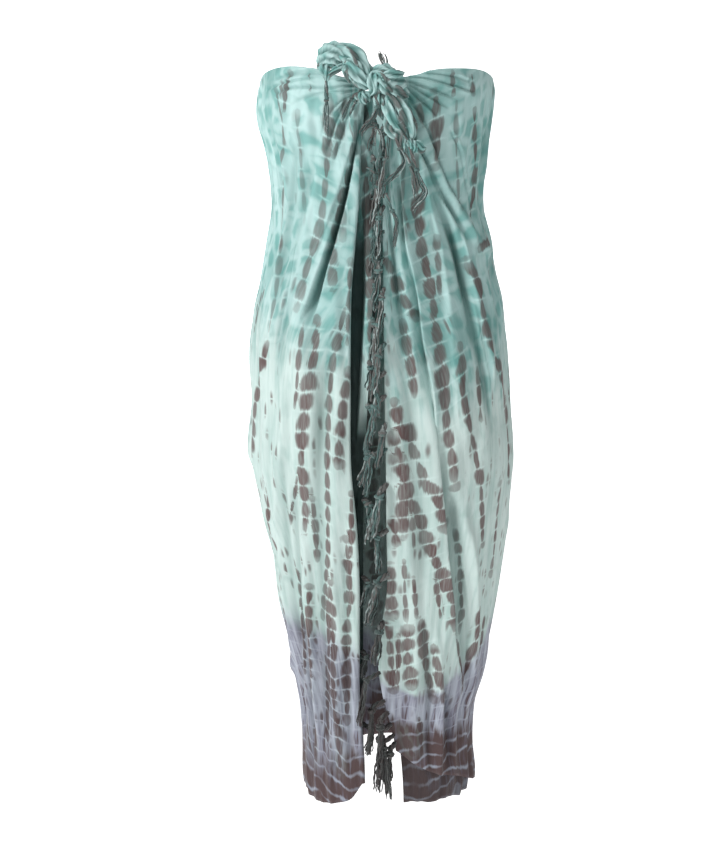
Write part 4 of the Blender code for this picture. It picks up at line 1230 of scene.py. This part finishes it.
def dyed_cloth():
    paint = Paint("Tie-dyed rayon", Roughness=0.72, Sheen_Weight=0.15, Sheen_Roughness=0.45)
    band = paint.attribute("band")
    side = paint.attribute("dye_side")
    tie = paint.attribute("tie")
    ink = paint.attribute("dye_ink")
    chain = paint.attribute("dye_id")
    streaks = paint.noise(1, 0.07, 190, 3, 0.6)
    threads = paint.noise(1, 0.05, 520, 2, 0.6)
    broad = paint.noise(1, 0.2, 44)
    soft = paint.noise(1, 0.5, 15)
    wander = paint.noise(1, 0.45, 62)
    patches = paint.noise(1, 0.6, 30)
    # The same, but to both sides of 0.
    streak = streaks - 0.5
    swell = broad - 0.5
    sway = wander - 0.5

    # How far each point has gone from teal to mint, lavender and brown, along a streaky line.
    to_mint = (band + streak * 0.4 + swell * 0.35).step(-0.78, -1.15)
    to_lavender = (band + streak * 0.16 + swell * 0.12).step(-1.93, -2.12)
    to_brown = (band + streak * 0.7 + swell * 0.6).step(-2.75, -3.05)

    # The tied lines across the cloth, and the net of pale lines between its cells.
    turn = tie + sway * 0.26 + swell * 0.14 + (soft - 0.5) * (to_lavender * 3.0)
    cell = turn.fraction()
    from_middle = abs(cell - 0.5) * 2
    line = (from_middle + streak * 0.14).step(0.8, 1.0) * (0.45 + patches * 1.1).at_most(1.0)
    across = paint.node("ShaderNodeSeparateXYZ", {}, {0: paint.cloth_place(66, 1)})
    net = paint.cells(paint.spot(across + sway * 1.3, turn * 1.05), 0.72, "DISTANCE_TO_EDGE")
    net = net.step(0.02, 0.3)

    # The four grounds, from the rim down.
    teal = paint.blend((streaks * 0.4 + broad * 0.5 + soft * 0.6).step(0.5, 0.98), PALE_TEAL, TEAL)
    teal = paint.blend(net * (0.3 + patches * 0.85).at_most(0.85), teal, TEAL)
    teal = paint.blend((1 - net) * (1.05 - soft * 0.9).at_least(0.2), teal, PALE_TEAL)
    teal = paint.blend(soft.step(0.5, 0.75) * 0.45, teal, DEEP_TEAL)
    mint = paint.blend((streaks * 0.6 + broad * 0.5).step(0.42, 0.8) * 0.7, MINT, MINT_SHADE)
    mint = paint.blend(net * patches.step(0.45, 0.7) * 0.4, mint, MINT_SHADE)
    lavender = paint.blend((streaks * 0.8 + broad * 0.6).step(0.5, 0.88), PALE_LAVENDER, LAVENDER)
    lavender = paint.blend(line * 0.3, lavender, PALE_LAVENDER)
    base = paint.blend(to_mint, teal, mint)
    base = paint.blend(to_lavender, base, lavender)
    flames = (streaks + swell * 0.5).step(0.56, 0.68) * band.step(-2.05, -2.6) * (1 - line)
    base = paint.blend(flames * 0.85, base, BROWN)
    pale_course = (from_middle + streak * 0.5 + (threads - 0.5) * 0.2).step(0.66, 1.0)
    pale_course = pale_course * (patches * 3.4 - 1.1).at_least(0.05).at_most(1.0)
    brown = paint.blend(pale_course, BROWN, BINDING_ON_BROWN)
    brown = paint.blend((patches + streak * 0.6).step(0.5, 0.8) * 0.5, brown, LAVENDER)
    brown = paint.blend(streaks.step(0.55, 0.78) * 0.45, brown, LAVENDER)
    base = paint.blend(to_brown, base, brown)

    # The marks of the chains, one between each two ties, uneven in width, lean and strength.
    size = paint.dice(turn.floor() + 0.5, chain.round() * 3.7)
    lean = paint.dice(turn.floor() + 0.5, chain.round() * 5.3 + 9)
    taper = 1.05 + (cell - 0.5) * (lean - 0.5) * 1.7
    width = (taper * (1.34 - size * 0.8)).at_least(0.2)
    feather = streak * 1.5 + (threads - 0.5) * 1.4
    off_line = ((side + feather * 0.42 + sway * 0.9) / width).at_least(0.0)
    off_middle = (from_middle * (0.94 + lean * 0.2) + feather * 0.42).at_least(0.0)
    oval = (off_line ** 2.2 + off_middle ** 2.6).step(1.6, 0.5)
    mottle = 0.8 + threads.step(0.3, 0.6) * 0.2
    mark = oval * (ink * 1.25).at_most(1.0) * (1 - lean * 0.16) * mottle
    halo = (side + feather).step(3.0, 0.6) * ink * (1 - line)
    rung = line * side.step(2.0, 0.8) * ink

    # Small loose spots, in some of the cells of a finer net.
    grain = paint.spot(across * 2.3 + sway * 0.8, turn * 0.9)
    kind = paint.node("ShaderNodeSeparateColor", {}, {0: paint.cells(grain, 0.8, "F1", "Color")})
    often = 0.16 + to_mint * 0.13 + band.step(-1.75, -2.3) * 0.3 - band.step(-0.9, -0.3) * 0.06
    spots = (paint.cells(grain, 0.8) + streak * 0.35).step(0.5, 0.14)
    spots = spots * (kind - (1 - often)).step(-0.03, 0.06) * (0.35 + patches * 0.8).at_most(0.85) * (1 - line)

    base = paint.blend(halo * 0.32 * (1 - to_mint), base, DEEP_TEAL)
    base = paint.blend(halo * 0.14 * to_mint, base, MINT_SHADE)
    base = paint.blend(rung * 0.26 * (1 - to_brown * 0.7), base, BINDING)
    mark_colour = paint.blend(to_mint, MARK_ON_TEAL, MARK_ON_MINT)
    mark_colour = paint.blend(to_lavender, mark_colour, BROWN)
    base = paint.blend(spots * (1 - to_brown), base, mark_colour)
    base = paint.blend(mark, base, mark_colour)

    # Painted shade: the colour darkens in the hollows of the folds, the knot's grooves and the hidden layers,
    # and a near-black painted shadow fills the gap down the front.
    hollow = paint.attribute("hollow")
    painted_shade_colour = paint.blend(to_mint, PAINTED_SHADE_TEAL, PAINTED_SHADE_MINT)
    painted_shade_colour = paint.blend(to_lavender, painted_shade_colour, PAINTED_SHADE_BROWN)
    base = paint.blend((hollow * 1.16).at_most(0.72), base, painted_shade_colour)
    base = paint.blend(hollow.step(0.66, 0.95) * 0.85, base, paint.blend(to_lavender, PAINTED_GAP_SHADOW_TEAL, PAINTED_GAP_SHADOW_BROWN))

    weave = paint.wave("X", 560, 0.6) * 0.04 + paint.wave("Y", 560, 0.6) * 0.04
    crumple = paint.noise(1, 0.35, 95, 3, 0.55)
    return paint.finish(base, weave + crumple * 1.3 + streaks * 0.5, 0.5, 0.0014)


def fringe_yarn():
    paint = Paint("Fringe yarn", Roughness=0.8, Sheen_Weight=0.2, Sheen_Roughness=0.5)
    tone = paint.attribute("yarn_tone")
    low = paint.attribute("yarn_low")
    fleck = paint.noise(0.4, 1, 120, 2, 0.6)
    value = tone * 0.75 + fleck * 0.5
    base = paint.blend(value.step(0.28, 0.5), YARN_DEEP, YARN_TEAL)
    base = paint.blend(value.step(0.56, 0.7) * 0.85, base, YARN_BROWN)
    base = paint.blend(value.step(0.84, 1.02), base, YARN_PALE)
    base = paint.blend(low * 0.85, base, YARN_DARK)
    return paint.finish(base, paint.wave("DIAGONAL", 300, 1.5) + fleck * 0.6, 0.5, 0.0006)


def main():
    cloth = dyed_cloth()
    yarn = fringe_yarn()
    cloths = {
        "left_front": left_front(),
        "left_end_strip": left_end(),
        "right_front": right_front(),
        "under_hem": under_hem(),
        "back": back(),
        "knot": wound_bands("Knot_wraps", KNOT_BANDS),
        "left_corner_fan": wound_bands("Left_corner_roll", FAN_BANDS),
        "right_corner_loop": wound_bands("Right_corner_leaves", LOOP_BANDS),
    }
    yarns = {
        "right_end_fringe": edge_locks("Right_end_fringe_yarn", column=2, top=-50, bottom=-855,
                                       step=RIGHT_LOCK_STEP, side=-1, inward=0, fullness=20, reach=1,
                                       extra=LOW_LOCKS),
        "left_end_fringe": edge_locks("Left_end_fringe_yarn", column=1, top=-44, bottom=-950,
                                      step=LEFT_LOCK_STEP, side=1, inward=LAYER_GAP + CURL_GAP, fullness=9,
                                      reach=0.6),
        "loop_tassels": tassel_piece("Right_corner_tassels", LOOP_TASSELS),
        "fan_tassels": tassel_piece("Left_corner_tassels", FAN_TASSELS),
        "knot_tassels": tassel_piece("Knot_tassel_yarn", KNOT_TASSELS),
        "left_knot_tassels": tassel_piece("Left_knot_tassel_yarn", LEFT_KNOT_TASSELS),
        "upper_tuft": tassel_piece("Upper_tuft_yarn", UPPER_TUFT),
    }
    for pieces, material, slot in ((cloths, cloth, "dyed_cloth"), (yarns, yarn, "fringe_yarn")):
        for node, piece in pieces.items():
            piece.data.materials.append(material)
            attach(piece, "root")
            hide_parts(node)


# The soft lamps: place, width and power. They point at the middle of the cloth.
LAMPS = (
    ("Key", (-2.2, -1.8, 1.3), 0.75, 72),
    ("Fill", (1.2, -2.8, 0.0), 1.8, 5),
    ("Top", (-0.2, -0.5, 1.9), 1.0, 10),
)
LAMP_AIM = (0, 0, -0.45)
# The pale floor and what stands behind: width, place, tilt and glow.
GROUNDS = (
    ("Floor", 30, (0, 0, -1.25), 0, 0.7),
    ("Backdrop", 9, (0, 6, 1.5), math.pi / 2, 0.86),
)
WHITE = (1, 1, 1, 1)
PALE = (0.95, 0.95, 0.95, 1)
WORLD_GLOW = 0.15
CAMERA_PLACE = (-0.0345, -2.2, -0.19)
CAMERA_DIP = math.radians(7.4)
LENS = 64.55
SENSOR_WIDTH = 36


def studio():
    scene = bpy.context.scene
    scene.view_settings.view_transform = "Standard"
    world = bpy.data.worlds.new("Studio")
    world.use_nodes = True
    world.node_tree.nodes["Background"].inputs["Color"].default_value = WHITE
    world.node_tree.nodes["Background"].inputs["Strength"].default_value = WORLD_GLOW
    scene.world = world
    for name, place, size, power in LAMPS:
        data = bpy.data.lights.new(name, "AREA")
        data.size = size
        data.energy = power
        lamp = bpy.data.objects.new(name, data)
        lamp.location = place
        aim = np.array(LAMP_AIM) - np.array(place)
        lamp.rotation_euler = (math.pi / 2 + math.atan2(aim[2], math.hypot(aim[0], aim[1])), 0,
                               math.atan2(-aim[0], aim[1]))
        scene.collection.objects.link(lamp)
    for name, size, place, tilt, glow in GROUNDS:
        bpy.ops.mesh.primitive_plane_add(size=size, location=place, rotation=(tilt, 0, 0))
        ground = bpy.context.active_object
        ground.name = name
        pale = bpy.data.materials.new("Pale " + name.lower())
        pale.use_nodes = True
        shader = pale.node_tree.nodes["Principled BSDF"]
        shader.inputs["Base Color"].default_value = PALE
        shader.inputs["Roughness"].default_value = 1
        shader.inputs["Emission Color"].default_value = WHITE
        shader.inputs["Emission Strength"].default_value = glow
        ground.data.materials.append(pale)
    data = bpy.data.cameras.new("Camera")
    data.lens = LENS
    data.sensor_width = SENSOR_WIDTH
    camera = bpy.data.objects.new("Camera", data)
    camera.location = CAMERA_PLACE
    camera.rotation_euler = (math.pi / 2 - CAMERA_DIP, 0, 0)
    scene.collection.objects.link(camera)
    scene.camera = camera


main()
studio()
